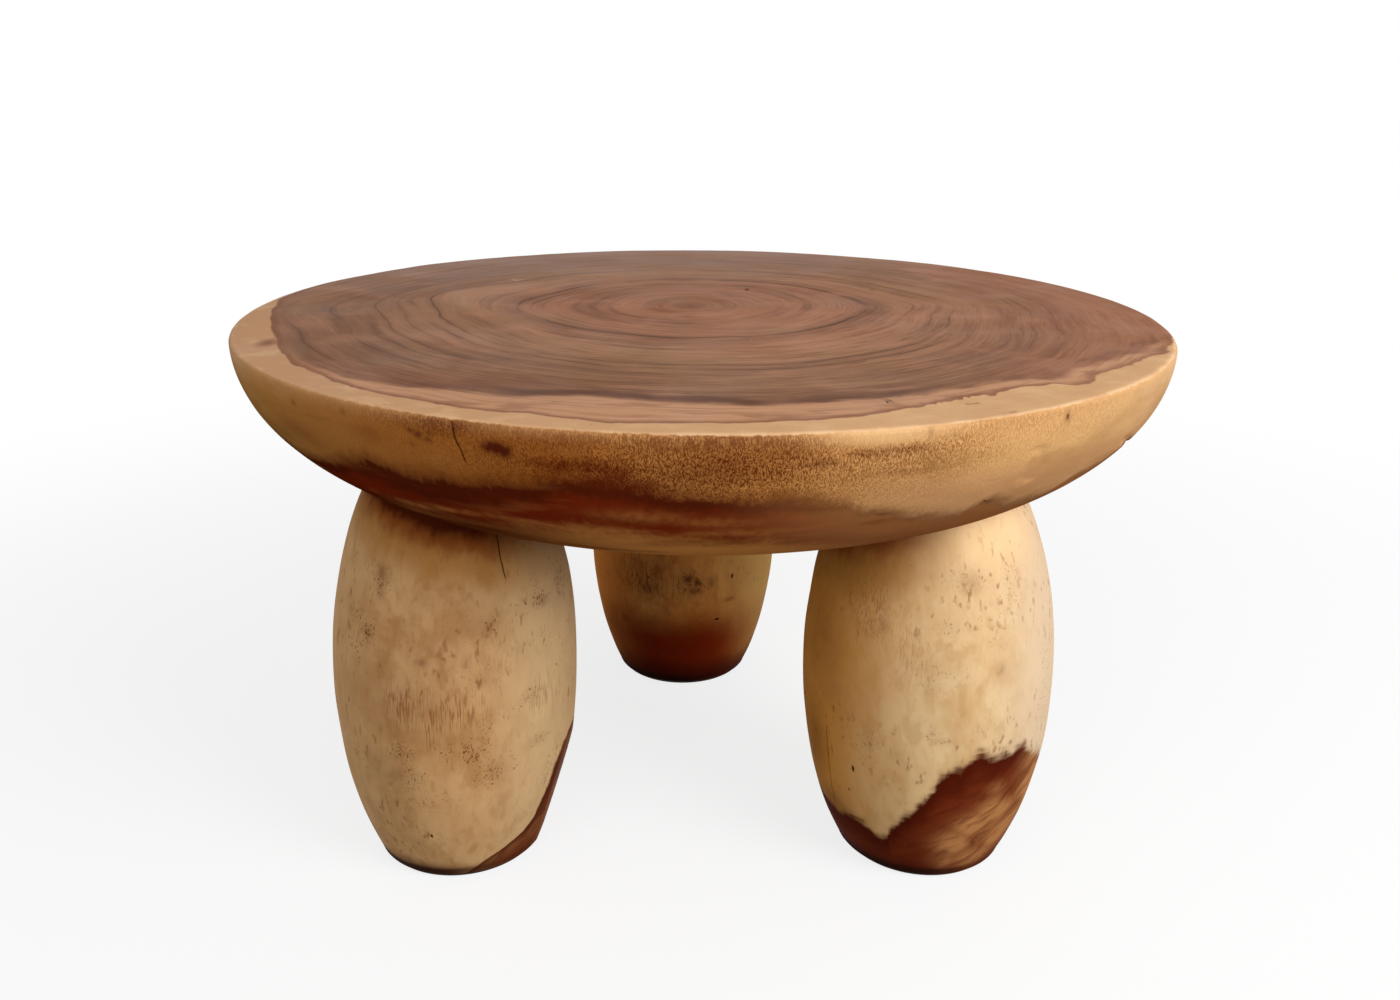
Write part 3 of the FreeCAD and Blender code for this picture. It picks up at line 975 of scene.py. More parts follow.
def ring_tones(wood, x, y, reach, flat, ring, broad, fine):
    """The growth rings: broad bands of tone, finer bands in them, and hair lines."""
    medium = wood.grain(flat, 8.0, 2, along=wood.times(ring, 11))
    hairs = wood.grain(flat, 34.0, 2, along=wood.times(ring, 16))
    patches = wood.grain(wood.moved(flat, 2, 5, 1), 7, 2)
    uneven = wood.grain(wood.stretched(wood.stirred(flat, 9, 0.05), 0.8, 1, 1), 17, 5)
    seen_along = wood.calc("DIVIDE", wood.calc("ABSOLUTE", y), wood.calc("MAXIMUM", reach, 0.01))
    seen_along = wood.ease(seen_along, 0.25, 0.80, wood.ease(x, 0.0, 0.15, 0.30, 0.80), 1.0)

    tone = wood.ramp(wood.calc("DIVIDE", ring, TOP_RADIUS), FACE_RINGS, "LINEAR")
    tone = wood.wash(tone, RING_DARK, broad, 0.50, 0.72, 0.42)
    tone = wood.wash(tone, RING_PALE, broad, 0.50, 0.28, 0.30)
    tone = wood.wash(tone, RING_DARK, medium, 0.52, 0.72, 0.46)
    tone = wood.wash(tone, RING_PALE, medium, 0.48, 0.28, 0.28)
    tone = wood.wash(tone, RING_DARK, fine, 0.50, 0.68, 0.34, seen_along)
    tone = wood.wash(tone, RING_PALE, fine, 0.50, 0.32, 0.26, seen_along)
    tone = wood.wash(tone, LINE_DARK, hairs, 0.54, 0.68, 0.36, seen_along)
    tone = wood.wash(tone, RING_PALE, hairs, 0.46, 0.32, 0.20, seen_along)
    tone = wood.wash(tone, FACE_OLIVE, patches, 0.52, 0.68, 0.35)
    tone = wood.wash(tone, FACE_PINK, uneven, 0.50, 0.68, 0.34)
    tone = wood.wash(tone, FACE_DULL, uneven, 0.48, 0.32, 0.30)
    return wood.wash(tone, FACE_RED, x, 0.12, 0.34, 0.30)


def growth_lines(wood, tone, x, y, ring, broken):
    """The thin dark lines between years, each in a fainter, wider shade."""
    sides = {
        "left": wood.ease(x, -0.06, -0.13),
        "right": wood.ease(x, 0.10, 0.22),
        "front": wood.ease(y, -0.05, -0.14),
        "all": 1.0,
    }
    for reach_share, half_width, strength, side in RING_LINES:
        half_width = half_width / 1000
        off = wood.calc("ABSOLUTE", wood.calc("SUBTRACT", ring, reach_share * TOP_RADIUS))
        line = wood.ease(off, half_width, 0.0, 0.0, strength)
        shade = strength * SHADE_STRENGTH_SHARE
        shade = wood.ease(off, half_width * SHADE_WIDTH_SHARE, 0.0, 0.0, shade)
        line = wood.times(wood.calc("MAXIMUM", line, shade), broken, sides[side])
        tone = wood.mix(line, tone, LINE_DARK)
    return tone


def deep_grey_and_sheen(wood, tone, x, y, flat, broad):
    """The heartwood is darker at the front left, and greyer towards the back from its grey patches and a
    painted sheen.
    """
    deep = wood.near(wood.stirred(flat, 20, 0.02), *DEEP_PLACE)
    tone = wood.mix(wood.times(deep, 0.55), tone, FACE_DEEP)
    # Greyer towards the back: the wood's grey patches and a painted sheen
    behind = wood.calc("MULTIPLY_ADD", x, -0.30, y)
    grey_and_sheen = wood.ease(behind, 0.12, 0.45, 0.0, 0.75)
    grey_and_sheen = wood.times(grey_and_sheen, wood.ease(broad, 0.30, 0.60, 0.5, 1.0))
    return wood.mix(grey_and_sheen, tone, FACE_GREY_AND_SHEEN)


def inside_heart(wood, x, turn, reach, flat):
    """How far inside the heartwood's wavy, toothed edge a place on the face is."""
    wavy = wood.swing(wood.grain(flat, 22, 2), 0.009)
    teeth = wood.swing(wood.grain(flat, 95, 2), 0.0022)
    combed = wood.swing(wood.grain(wood.stretched(flat, 1, 0.4, 1), 85, 2), 0.016)
    combed = wood.times(combed, wood.near(wood.place, *COMBED_PLACE))
    wavy = wood.plus(wavy, wood.plus(teeth, combed))
    wavy = wood.times(wavy, wood.ease(x, -0.37, -0.27, 0.35, 1.0))
    edge = wood.ramp(turn, by_azimuth(FACE_HEART_EDGE))
    return wood.calc("SUBTRACT", wood.calc("MULTIPLY_ADD", edge, TOP_RADIUS, wavy), reach)


def edge_band(wood, tone, x, turn, flat, inside, fine, broken):
    """The paler, clouded band along the heartwood's edge, with a dark line on either side."""
    band_reach = wood.ramp(turn, by_azimuth(FACE_BAND_REACH, REACH_SCALE))
    short = wood.calc("SUBTRACT", wood.times(band_reach, REACH_SCALE / 1000), inside)
    band = wood.ease(short, -0.003, 0.009, 0.0, 0.85)
    band = wood.times(band, wood.ease(band_reach, 0.02, 0.15))
    band = wood.times(band, wood.ease(fine, 0.70, 0.48, 0.5, 1.0))
    tone = wood.mix(band, tone, EDGE_BAND)
    cloudy = wood.grain(wood.stretched(flat, 0.45, 1, 1), 46, 3)
    tone = wood.wash(tone, EDGE_LINE, cloudy, 0.50, 0.68, 0.55, band)
    before = wood.calc("ABSOLUTE", wood.plus(short, 0.009))
    before = wood.times(wood.ease(before, 0.014, 0.002, 0.0, 0.75), broken)
    before = wood.times(before, wood.ease(band_reach, 0.04, 0.12))
    before = wood.times(before, wood.ease(x, 0.20, 0.30, 1.0, 0.45))
    tone = wood.mix(before, tone, LINE_DARK)
    by_side = wood.ease(x, 0.20, 0.32, 0.75, 0.60)
    return wood.wash(tone, EDGE_LINE, inside, 0.010, 0.001, 1.0, by_side)


def face_sap(wood, x, reach, flat, fine):
    """The pale sapwood round the face: mottled, flecked, and with a painted highlight on the rim,
    stronger to the right.
    """
    mottle = wood.grain(flat, 34, 5)
    flame = wood.near(wood.stirred(flat, 60, 0.006), *FLAME_PLACE)
    sap = wood.mix(wood.ease(x, -0.35, 0.15), FACE_SAP_LEFT, FACE_SAP_RIGHT)
    sap = wood.wash(sap, EDGE_BAND, fine, 0.45, 0.70, 0.30)
    sap = wood.wash(sap, EDGE_BAND, mottle, 0.48, 0.66, 0.35)
    sap = wood.wash(sap, FACE_SAP_PALE_AND_HIGHLIGHT, mottle, 0.50, 0.34, 0.30)
    sap = wood.wash(sap, EDGE_LINE, wood.grain(flat, 330, 1), 0.70, 0.80, 0.5)
    sap = wood.mix(wood.times(flame, 0.85), sap, EDGE_LINE)
    # A painted highlight on the rim, stronger to the right
    painted_rim_highlight = wood.ease(reach, TOP_RADIUS - 0.006, TOP_RADIUS - 0.003)
    painted_rim_highlight = wood.times(painted_rim_highlight, wood.ease(x, -0.10, 0.12, 0.20, 0.70))
    painted_rim_highlight = wood.times(painted_rim_highlight, wood.ease(mottle, 0.60, 0.40, 0.3, 1.0))
    return wood.mix(painted_rim_highlight, sap, FACE_SAP_PALE_AND_HIGHLIGHT)


def face_tone(wood, x, y, turn, reach, flat):
    """The face of the top: growth rings round the pith, a wavy heart edge, pale sapwood."""
    ring = ring_distance(wood, x, y, reach, flat)
    broad = wood.grain(flat, 4.0, 2, along=wood.times(ring, 8))
    fine = wood.grain(flat, 17.0, 3, along=wood.times(ring, 17))
    broken = wood.ease(wood.grain(wood.moved(flat, 1, 2, 9), 9, 2), 0.38, 0.54, 0.25, 1.0)
    tone = ring_tones(wood, x, y, reach, flat, ring, broad, fine)
    tone = growth_lines(wood, tone, x, y, ring, broken)
    tone = deep_grey_and_sheen(wood, tone, x, y, flat, broad)
    inside = inside_heart(wood, x, turn, reach, flat)
    tone = edge_band(wood, tone, x, turn, flat, inside, fine, broken)
    scuffed = wood.near(wood.place, *SCUFF_PLACE)
    tone = wood.wash(tone, FACE_SAP_PALE_AND_HIGHLIGHT, wood.grain(flat, 160, 2), 0.45, 0.60, 0.9, scuffed)
    sap = face_sap(wood, x, reach, flat, fine)
    return wood.mix(wood.ease(inside, 0.0010, -0.0014), tone, sap), fine


def vessel_lines(wood, depth, stirred, bare):
    """Short upright strokes, specks between them, and longer bristles close to the rim."""
    strokes = wood.grain(wood.stretched(stirred, 1, 1, 0.30), 1150, 2)
    specks = wood.grain(wood.stretched(stirred, 1, 1, 0.60), 1500, 1)
    bristles = wood.grain(wood.stretched(stirred, 1, 1, 0.14), 760, 2)
    fur = wood.calc("MAXIMUM", wood.ease(strokes, 0.46, 0.58), wood.ease(specks, 0.50, 0.62, 0.0, 0.8))
    by_rim = wood.times(wood.ease(bristles, 0.48, 0.58), wood.ease(depth, 0.016, 0.003))
    fur = wood.calc("MAXIMUM", fur, by_rim)
    return wood.times(fur, wood.ease(bare, 0.0, 0.7, 1.0, 0.35))


def belly_sap(wood, x, turn, depth, bare, fur, stains, rough):
    """The belly's sapwood: clouded, furred with vessel lines, stained and knotty in places, with a
    painted highlight under the rim.
    """
    clouds = wood.grain(wood.stretched(wood.place, 1, 1, 2.5), 8, 3)
    bands = wood.grain(wood.stretched(wood.place, 1, 1, 5), 14, 3)
    fur_tone = wood.ramp(turn, by_azimuth(BELLY_FUR), "LINEAR")
    sap = wood.ramp(turn, by_azimuth(BELLY_SAP), "LINEAR")
    # A painted highlight just under the rim
    sap = wood.wash(sap, BELLY_SAP_TINT_AND_RIM_HIGHLIGHT, depth, 0.012, 0.0, 0.50)
    low = wood.times(wood.ease(depth, 0.028, 0.050), wood.ease(x, 0.08, 0.18), 0.7)
    sap = wood.mix(low, sap, BELLY_SAP_LOW)
    sap = wood.wash(sap, fur_tone, clouds, 0.50, 0.72, 0.35)
    sap = wood.wash(sap, BELLY_SAP_TINT_AND_RIM_HIGHLIGHT, clouds, 0.48, 0.28, 0.30)
    sap = wood.wash(sap, fur_tone, bands, 0.52, 0.75, 0.30)
    sap = wood.mix(wood.times(bare, 0.7), sap, BELLY_SAP_PALE)
    amount = wood.calc("MULTIPLY_ADD", wood.note("pores"), 0.84, 0.12)
    amount = wood.times(amount, wood.ease(clouds, 0.30, 0.55, 0.6, 1.0))
    sap = wood.mix(wood.times(fur, amount), sap, fur_tone)
    sap = wood.mix(wood.times(stains, wood.ease(fur, 0.0, 1.0, 0.7, 1.0)), sap, BELLY_STAIN)
    return wood.mix(wood.times(wood.note("knots"), rough), sap, KNOT_BROWN)


def belly_heart(wood, x, depth, beyond, stains, rough):
    """The belly's heartwood: dark at its edge, red and then tawny further down, and streaked, with
    painted shade low on its left.
    """
    heart = wood.ramp(wood.times(beyond, 1 / HEART_FADE), BELLY_HEART_FADE)
    heart = wood.wash(heart, BELLY_BROWN, x, 0.00, 0.12, 0.75)
    streaks = wood.grain(wood.stretched(wood.place, 1, 1, 6), 11, 4)
    heart = wood.wash(heart, BELLY_EDGE_AND_SHADE, streaks, 0.52, 0.74, 0.45)
    further = wood.ease(beyond, 0.010, 0.045, 0.3, 1.0)
    heart = wood.wash(heart, BELLY_LOW, streaks, 0.48, 0.28, 0.50, further)
    # Painted shade low on the belly's left
    shade_at_left = wood.ease(x, -0.02, -0.15, 0.04, 0.85)
    heart = wood.wash(heart, BELLY_EDGE_AND_SHADE, depth, 0.070, 0.104, 1.0, shade_at_left)
    heart = wood.mix(wood.times(wood.note("swirls"), rough), heart, BELLY_LOW)
    return wood.mix(stains, heart, BELLY_EDGE_AND_SHADE)


def belly_tone(wood, x, turn, depth):
    """The belly: sapwood furred with short dark vessel lines, and heartwood low down."""
    stirred = wood.stirred(wood.place, 45, 0.012)
    blotch = wood.grain(wood.stretched(stirred, 1, 1, 0.5), 120, 3)
    rough = wood.ease(blotch, 0.32, 0.62, 0.45, 1.0)
    stains = wood.times(wood.note("stains"), wood.ease(blotch, 0.30, 0.60, 0.75, 1.0))
    stains = wood.calc("MINIMUM", stains, 0.95)
    bare = wood.near(wood.place, *BARE_PLACE)
    fur = vessel_lines(wood, depth, stirred, bare)
    sap = belly_sap(wood, x, turn, depth, bare, fur, stains, rough)

    edge = wood.ramp(turn, by_azimuth(BELLY_HEART_EDGE, REACH_SCALE))
    beyond = wood.calc("MULTIPLY_ADD", edge, -REACH_SCALE / 1000, depth)
    feathers = wood.grain(wood.stretched(stirred, 1, 1, 0.3), 210, 2)
    for sway in (wood.grain(wood.place, 30, 2), feathers):
        beyond = wood.plus(beyond, wood.swing(sway, 0.006))
    heart = belly_heart(wood, x, depth, beyond, stains, rough)
    sap = wood.wash(sap, BELLY_STAIN, beyond, -0.014, 0.0, 0.6)
    return wood.mix(wood.ease(beyond, -0.0030, 0.0030), sap, heart), fur


def top_wood():
    """One log, cut across for the face and carved round for the belly."""
    wood = Finish("top_wood", {})
    x, y, z = wood.split(wood.place)
    depth = wood.calc("SUBTRACT", TOP_LEVEL, z)
    turn = turned_to_unit(wood, x, y)
    flat = wood.stretched(wood.place, 1, 1, 0)
    face, rings = face_tone(wood, x, y, turn, wood.length(flat), flat)
    belly, fur = belly_tone(wood, x, turn, depth)
    ragged = wood.swing(wood.grain(wood.place, 300, 1), 0.0010)
    tone = wood.mix(wood.ease(wood.plus(depth, ragged), 0.0006, 0.0018), face, belly)
    satin = wood.grain(wood.place, 14, 3)
    height = wood.calc("MULTIPLY_ADD", fur, -0.5, wood.times(rings, 0.4))
    look = {
        "Base Color": wood.mix(wood.note("cut"), tone, CUT_DARK),
        "Roughness": wood.ease(satin, 0.3, 0.7, 0.52, 0.66),
        "Specular IOR Level": wood.ease(depth, 0.0, 0.02, FACE_GLOSS, BELLY_GLOSS),
        "Normal": wood.bump(height, 0.00025, 0.6),
    }
    wood.feed(wood.shader, look)
    return wood.material


# Painted shade on a leg close under the top: how much its line leans to the left, the level where
# it is darkest, how far down it reaches, and between which sides it lies
PAINTED_HEAD_SHADES = {
    "front_left": (0.25, 0.318, 0.050, (-0.090, -0.045), (0.095, 0.030)),
    "front_right": (-0.35, 0.327, 0.060, (-0.200, -0.150), (0.010, -0.058)),
}

# The painted shade's tones in turn: from where to where each deepens, as shares of how far down
# it reaches, how strong it gets, and how narrowly it keeps to the middle
HEAD_SHADE_TONES = [
    (HEAD_SHADE_OCHRE, 1.00, 0.40, 0.75, 0.35),
    (HEAD_SHADE_BROWN, 0.45, 0.12, 0.85, 1.20),
    (HEAD_SHADE_DARK, 0.16, -0.08, 0.95, 2.40),
]


def painted_head_shade(wood, tone, x, z, lean, level, down, left_side, right_side):
    """Painted shade close under the top, from ochre through brown to nearly black."""
    up = wood.calc("MULTIPLY_ADD", x, lean, z)
    up = wood.plus(up, wood.swing(wood.grain(wood.place, 36, 3), 0.010))
    hairs = wood.grain(wood.stretched(wood.place, 1, 1, 0.3), 130, 2)
    up = wood.plus(up, wood.swing(hairs, 0.006))
    across = wood.times(wood.ease(x, *left_side), wood.ease(x, *right_side))
    for colour, first, last, share, narrowness in HEAD_SHADE_TONES:
        within = wood.calc("POWER", across, narrowness)
        start, full = level - down * first, level - down * last
        tone = wood.wash(tone, colour, up, start, full, share, within)
    return tone


def clouded_and_painted_wood(wood, leg, x, y, z, stirred, streaks):
    """A leg's bare wood: clouds, smudges, a faint figure, and its sides in painted light and painted
    shade.
    """
    pale, middle, brown = LEG_TONES[leg]
    clouds = wood.grain(stirred, 9, 4)
    smudges = wood.grain(wood.moved(stirred, 3, 1, 2), 18, 5)
    blush = wood.grain(wood.moved(stirred, 5, 2, 7), 11, 2)
    rubbed = wood.grain(wood.stretched(wood.stirred(wood.place, 50, 0.012), 1, 1, 0.6), 70, 4)
    tilted = wood.joined(wood.calc("MULTIPLY_ADD", z, 0.45, x), wood.plus(y, 0.16), 0.0)
    growth = wood.times(wood.length(tilted), 22)
    figure = wood.grain(wood.stretched(wood.place, 1, 1, 0.4), 5, 2, along=growth)
    tone = wood.mix(wood.ease(clouds, 0.36, 0.62), pale, middle)
    tone = wood.wash(tone, brown, smudges, 0.50, 0.70, 0.50)
    tone = wood.wash(tone, LEG_BLUSH[leg], blush, 0.50, 0.66, 0.45)
    tone = wood.wash(tone, brown, rubbed, 0.50, 0.70, 0.42)
    tone = wood.wash(tone, pale, rubbed, 0.48, 0.30, 0.35)
    tone = wood.wash(tone, brown, figure, 0.50, 0.68, 0.14)
    tone = wood.wash(tone, brown, streaks, 0.48, 0.72, 0.22)
    lit, lit_share, shaded, shaded_share = LEG_LIT_AND_SHADED_SIDES[leg]
    # Painted light on the right side, painted shade on the left
    tone = wood.wash(tone, lit, x, 0.020, 0.090, lit_share)
    tone = wood.wash(tone, shaded, x, -0.020, -0.100, shaded_share)
    if leg == "front_right":
        # Painted light close under the top
        tone = wood.mix(wood.times(wood.near(wood.place, *PAINTED_LIGHT_PLACE), 0.65), tone, HEAD_PAINTED_LIGHT)
    if leg == "back":
        # The back leg's tones hold painted warm shade; its far side takes a plainer tone
        tone = wood.wash(tone, FAR_SIDE, y, -0.005, 0.070, 0.65)
    return tone


def marked_and_shaded_wood(wood, leg, tone, stirred):
    """Stains that hold painted shade in places, dashes, flecks, pores and knots, and where the dashes
    and pores are for the relief.
    """
    mottle = wood.ease(wood.grain(stirred, 34, 4), 0.32, 0.62, 0.70, 1.0)
    # The stain marks include painted shade on the front legs
    stains = wood.calc("MINIMUM", wood.times(wood.note("stains"), mottle), 0.93)
    tone = wood.mix(stains, tone, LEG_STAIN_TONE_AND_SHADE)
    dashes = wood.grain(wood.stretched(wood.place, 1, 1, 0.09), 760, 1)
    dashes = wood.times(wood.ease(dashes, 0.48, 0.62), wood.note("dashes"))
    tone = wood.mix(wood.times(dashes, 0.75), tone, LEG_DASH)
    flecks = wood.grain(wood.stretched(wood.place, 1, 1, 0.45), 190, 2)
    spread = wood.ease(wood.grain(wood.moved(wood.place, 4, 4, 4), 14, 2), 0.42, 0.62, 0.15, 1.0)
    tone = wood.wash(tone, LEG_DASH, flecks, 0.58, 0.72, 0.55, spread)
    speckle = wood.grain(wood.stretched(wood.stirred(wood.place, 160, 0.006), 1, 1, 0.6), 600, 3)
    crowd = wood.ease(wood.grain(wood.place, 26, 2), 0.52, 0.72, 0.0, 0.35)
    crowd = wood.calc("MAXIMUM", crowd, wood.note("pores"))
    dots = wood.calc("MULTIPLY_ADD", crowd, 0.10, speckle)
    dots = wood.times(wood.ease(dots, 0.60, 0.76), wood.ease(crowd, 0.05, 0.35))
    tone = wood.mix(wood.times(wood.note("pores"), 0.20), tone, LEG_DASH)
    tone = wood.mix(wood.times(dots, LEG_DOT_SHARE[leg]), tone, LEG_DOT)
    blotch = wood.ease(wood.grain(wood.place, 160, 3), 0.30, 0.60, 0.25, 1.0)
    return wood.mix(wood.times(wood.note("knots"), blotch), tone, KNOT_BROWN), dashes, dots


def painted_foot_shade(wood, tone, x, z):
    """Painted shade low on a foot, most on its left, and darker painted shade at the sole's edge."""
    foot_shade = wood.plus(z, wood.swing(wood.grain(wood.place, 30, 3), 0.012))
    foot_shade_side = wood.ease(x, 0.04, -0.02, 0.35, 0.85)
    tone = wood.wash(tone, LEG_HEART_AND_SHADE_DARK, foot_shade, 0.024, 0.006, 1.0, foot_shade_side)
    sole_shade_side = wood.ease(x, 0.05, -0.01, 0.3, 0.9)
    return wood.wash(tone, SOLE_SHADE, z, 0.0150, 0.0095, 1.0, sole_shade_side)


def leg_wood(leg):
    """Pale wood, clouded and faintly figured, with heartwood where the leg has some, and painted shade
    under the top and at the foot.
    """
    wood = Finish(f"leg_wood_{leg}", {"Specular IOR Level": LEG_GLOSS})
    axis = leg_axes[leg]
    x, y, z = wood.split(wood.moved(wood.place, -axis.x, -axis.y, 0))
    stirred = wood.stirred(wood.place, 14, 0.05)
    streaks = wood.grain(wood.stretched(stirred, 1, 1, 0.10), 150, 3)
    tone = clouded_and_painted_wood(wood, leg, x, y, z, stirred, streaks)
    tone, dashes, dots = marked_and_shaded_wood(wood, leg, tone, stirred)
    # Painted shade close under the top of the front legs
    if leg in PAINTED_HEAD_SHADES:
        tone = painted_head_shade(wood, tone, x, z, *PAINTED_HEAD_SHADES[leg])
    # Painted shade low on every foot
    tone = painted_foot_shade(wood, HEART_OF[leg](wood, tone, x, y, z), x, z)
    satin = wood.grain(wood.place, 16, 3)
    height = wood.calc("MULTIPLY_ADD", dots, -0.15, wood.times(streaks, 0.35))
    height = wood.calc("MULTIPLY_ADD", dashes, -0.2, height)
    look = {
        "Base Color": wood.mix(wood.note("cut"), tone, CUT_DARK),
        "Roughness": wood.ease(satin, 0.3, 0.7, 0.55, 0.70),
        "Normal": wood.bump(height, 0.0003, 0.6),
    }
    wood.feed(wood.shader, look)
    return wood.material


def heart_tones(wood, within, paler):
    """Heartwood by how far inside its edge it is: dark, streaked on the slant, paler in places."""
    x, y, z = wood.split(wood.stirred(wood.place, 18, 0.03))
    along = wood.calc("MULTIPLY_ADD", z, 0.75, x)
    across = wood.calc("MULTIPLY_ADD", x, -0.75, z)
    slanted = wood.joined(wood.times(along, 0.22), wood.times(y, 0.4), across)
    swirl = wood.grain(slanted, 40, 3)
    lines = wood.grain(slanted, 170, 3)
    tone = wood.mix(wood.ease(within, 0.004, 0.034), LEG_HEART_AND_SHADE_DARK, LEG_HEART_RED)
    tone = wood.wash(tone, LEG_HEART_AND_SHADE_DARK, swirl, 0.50, 0.70, 0.5)
    paler = wood.times(paler, wood.ease(swirl, 0.62, 0.42, 0.30, 1.0))
    tone = wood.mix(paler, tone, LEG_HEART_PALE)
    return wood.wash(tone, LEG_HEART_AND_SHADE_DARK, lines, 0.50, 0.66, 0.38)


def ragged_edge(wood, amount):
    """A coarse and a fine shift for an edge of heartwood."""
    rough = wood.swing(wood.grain(wood.place, 30, 3), amount)
    return wood.plus(rough, wood.swing(wood.grain(wood.place, 150, 2), amount * 0.3))


# How far right of its leg's axis the left leg's heartwood begins, by height, in millimetres
LEFT_LEG_HEART_EDGE = [
    (0, 8), (10, 22), (20, 36), (27, 48), (36, 61), (47, 71), (62, 78), (77, 84),
    (92, 89), (106, 95), (116, 101), (150, 130),
]
LEFT_LEG_HEART_HEIGHT = 150


def sliver_of_heart(wood, tone, x, y, z):
    """The front left leg: a thin slice of heartwood low on its right."""
    height = wood.calc("DIVIDE", z, LEFT_LEG_HEART_HEIGHT / 1000)
    stops = [
        (level / LEFT_LEG_HEART_HEIGHT, across / LEFT_LEG_HEART_HEIGHT)
        for level, across in LEFT_LEG_HEART_EDGE
    ]
    edge = wood.ramp(height, stops, "LINEAR")
    within = wood.calc("MULTIPLY_ADD", edge, -LEFT_LEG_HEART_HEIGHT / 1000, x)
    within = wood.plus(within, ragged_edge(wood, 0.003))
    paler = wood.ease(within, 0.001, 0.008, 0.15, 0.45)
    return wood.mix(wood.ease(within, -0.0010, 0.0012), tone, heart_tones(wood, within, paler))


# How high the right leg's heartwood reaches, by azimuth about the leg, in millimetres
RIGHT_LEG_HEART_TOP = [
    (-180, 52), (-164, 52), (-149, 49), (-138, 55), (-129, 51), (-123, 43), (-117, 45),
    (-114, 57), (-106, 74), (-99, 90), (-94, 103), (-92, 114), (-84, 124), (-75, 137),
    (-66, 132), (-53, 133), (-39, 116), (-10, 86), (60, 60), (180, 52),
]
RIGHT_LEG_HEART_SCALE = 200


def lobe_of_heart(wood, tone, x, y, z):
    """The front right leg: a lobe of heartwood up its front, with paler swirls inside."""
    azimuth = wood.calc("MULTIPLY_ADD", wood.calc("ARCTAN2", y, x), 1 / math.tau, 0.5)
    edge = wood.ramp(azimuth, by_azimuth(RIGHT_LEG_HEART_TOP, RIGHT_LEG_HEART_SCALE))
    within = wood.calc("SUBTRACT", wood.times(edge, RIGHT_LEG_HEART_SCALE / 1000), z)
    within = wood.plus(within, ragged_edge(wood, 0.009))
    combed = wood.grain(wood.stretched(wood.place, 0.25, 0.25, 1), 230, 3)
    within = wood.plus(within, wood.swing(combed, 0.006))
    heart = heart_tones(wood, within, wood.note("swirls"))
    tone = wood.wash(tone, LEG_STAIN_TONE_AND_SHADE, within, -0.010, 0.002, 0.35)
    return wood.mix(wood.ease(within, -0.0045, 0.0055), tone, heart)


def back_leg_darker_low(wood, tone, x, y, z):
    """The back leg: softly darker towards the foot."""
    low = wood.plus(z, wood.swing(wood.grain(wood.place, 16, 3), 0.022))
    middle = wood.ease(wood.calc("ABSOLUTE", x), 0.095, 0.030, 0.25, 0.95)
    tone = wood.wash(tone, BACK_LOW_BROWN, low, 0.110, 0.060, 1.0, middle)
    return wood.wash(tone, LEG_HEART_AND_SHADE_DARK, low, 0.050, 0.008, 0.90)


HEART_OF = {"front_left": sliver_of_heart, "front_right": lobe_of_heart, "back": back_leg_darker_low}


def rubber():
    """The foot pads: matt, near black, faintly pitted."""
    pad = Finish("pad_rubber", {"Roughness": RUBBER_ROUGHNESS})
    speckle = pad.grain(pad.place, 900, 2)
    tone = pad.mix(pad.ease(speckle, 0.35, 0.7), RUBBER_DARK, RUBBER_PALE)
    pad.feed(pad.shader, {"Base Color": tone, "Normal": pad.bump(speckle, 0.0002, 0.5)})
    return pad.material


def turned_metal(name, tone, dull, roughness):
    """Steel or brass with faint turning lines and a little tarnish."""
    metal = Finish(name, {"Metallic": 1.0})
    lines = metal.grain(metal.stretched(metal.place, 0.05, 0.05, 1), 2600, 1)
    patches = metal.grain(metal.place, 180, 3)
    look = {
        "Base Color": metal.mix(metal.ease(patches, 0.4, 0.7), tone, dull),
        "Roughness": metal.ease(patches, 0.3, 0.7, roughness, roughness + 0.2),
        "Normal": metal.bump(lines, 0.00006, 0.5),
    }
    metal.feed(metal.shader, look)
    return metal.material


def housing_cutter(leg):
    """What the top loses to one leg: its head's housing, the flange's recess, the insert's bore."""
    seat = leg_boxes[leg][1].z
    side = barrel_arc(
        leg,
        grown=HOUSING_CLEARANCE,
        foot_level=UNDERSIDE_LEVEL - CUTTER_OVERRUN,
        head_level=seat,
        rows=HOUSING_ROWS,
    )
    outline = [
        (0, side[0][1]),
        *side,
        (FLANGE_RECESS_RADIUS, seat),
        (FLANGE_RECESS_RADIUS, seat + FLANGE_RECESS_DEPTH),
        (INSERT_BORE_RADIUS, seat + FLANGE_RECESS_DEPTH),
        (INSERT_BORE_RADIUS, seat + INSERT_BORE_DEPTH),
        (0, seat + INSERT_BORE_DEPTH),
    ]
    return mesh_object(turn_on_axis(outline, leg_axes[leg], HOUSING_STEPS), "cutter")


def house_the_legs(piece):
    """Cuts the three housings, and keeps the result as the piece's own mesh."""
    cutters = [housing_cutter(leg) for leg in LEGS]
    for cutter in cutters:
        modifier = piece.modifiers.new("housing", "BOOLEAN")
        modifier.operation = "DIFFERENCE"
        modifier.solver = "EXACT"
        modifier.object = cutter
    graph = bpy.context.evaluated_depsgraph_get()
    mesh = bpy.data.meshes.new_from_object(piece.evaluated_get(graph))
    piece.modifiers.clear()
    piece.data = mesh
    for cutter in cutters:
        bpy.data.objects.remove(cutter)


def clear_of_seats(point):
    """From 1 well away from every leg's head to 0 close by, where the fit has to stay true."""
    if point.z > TOP_LEVEL - RIM_DEPTH:
        return 1.0
    away = min((point.xy - leg_axes[leg].xy).length for leg in LEGS)
    return min(1.0, max(0.0, (away - SEAT_RADIUS) / SEAT_FADE))


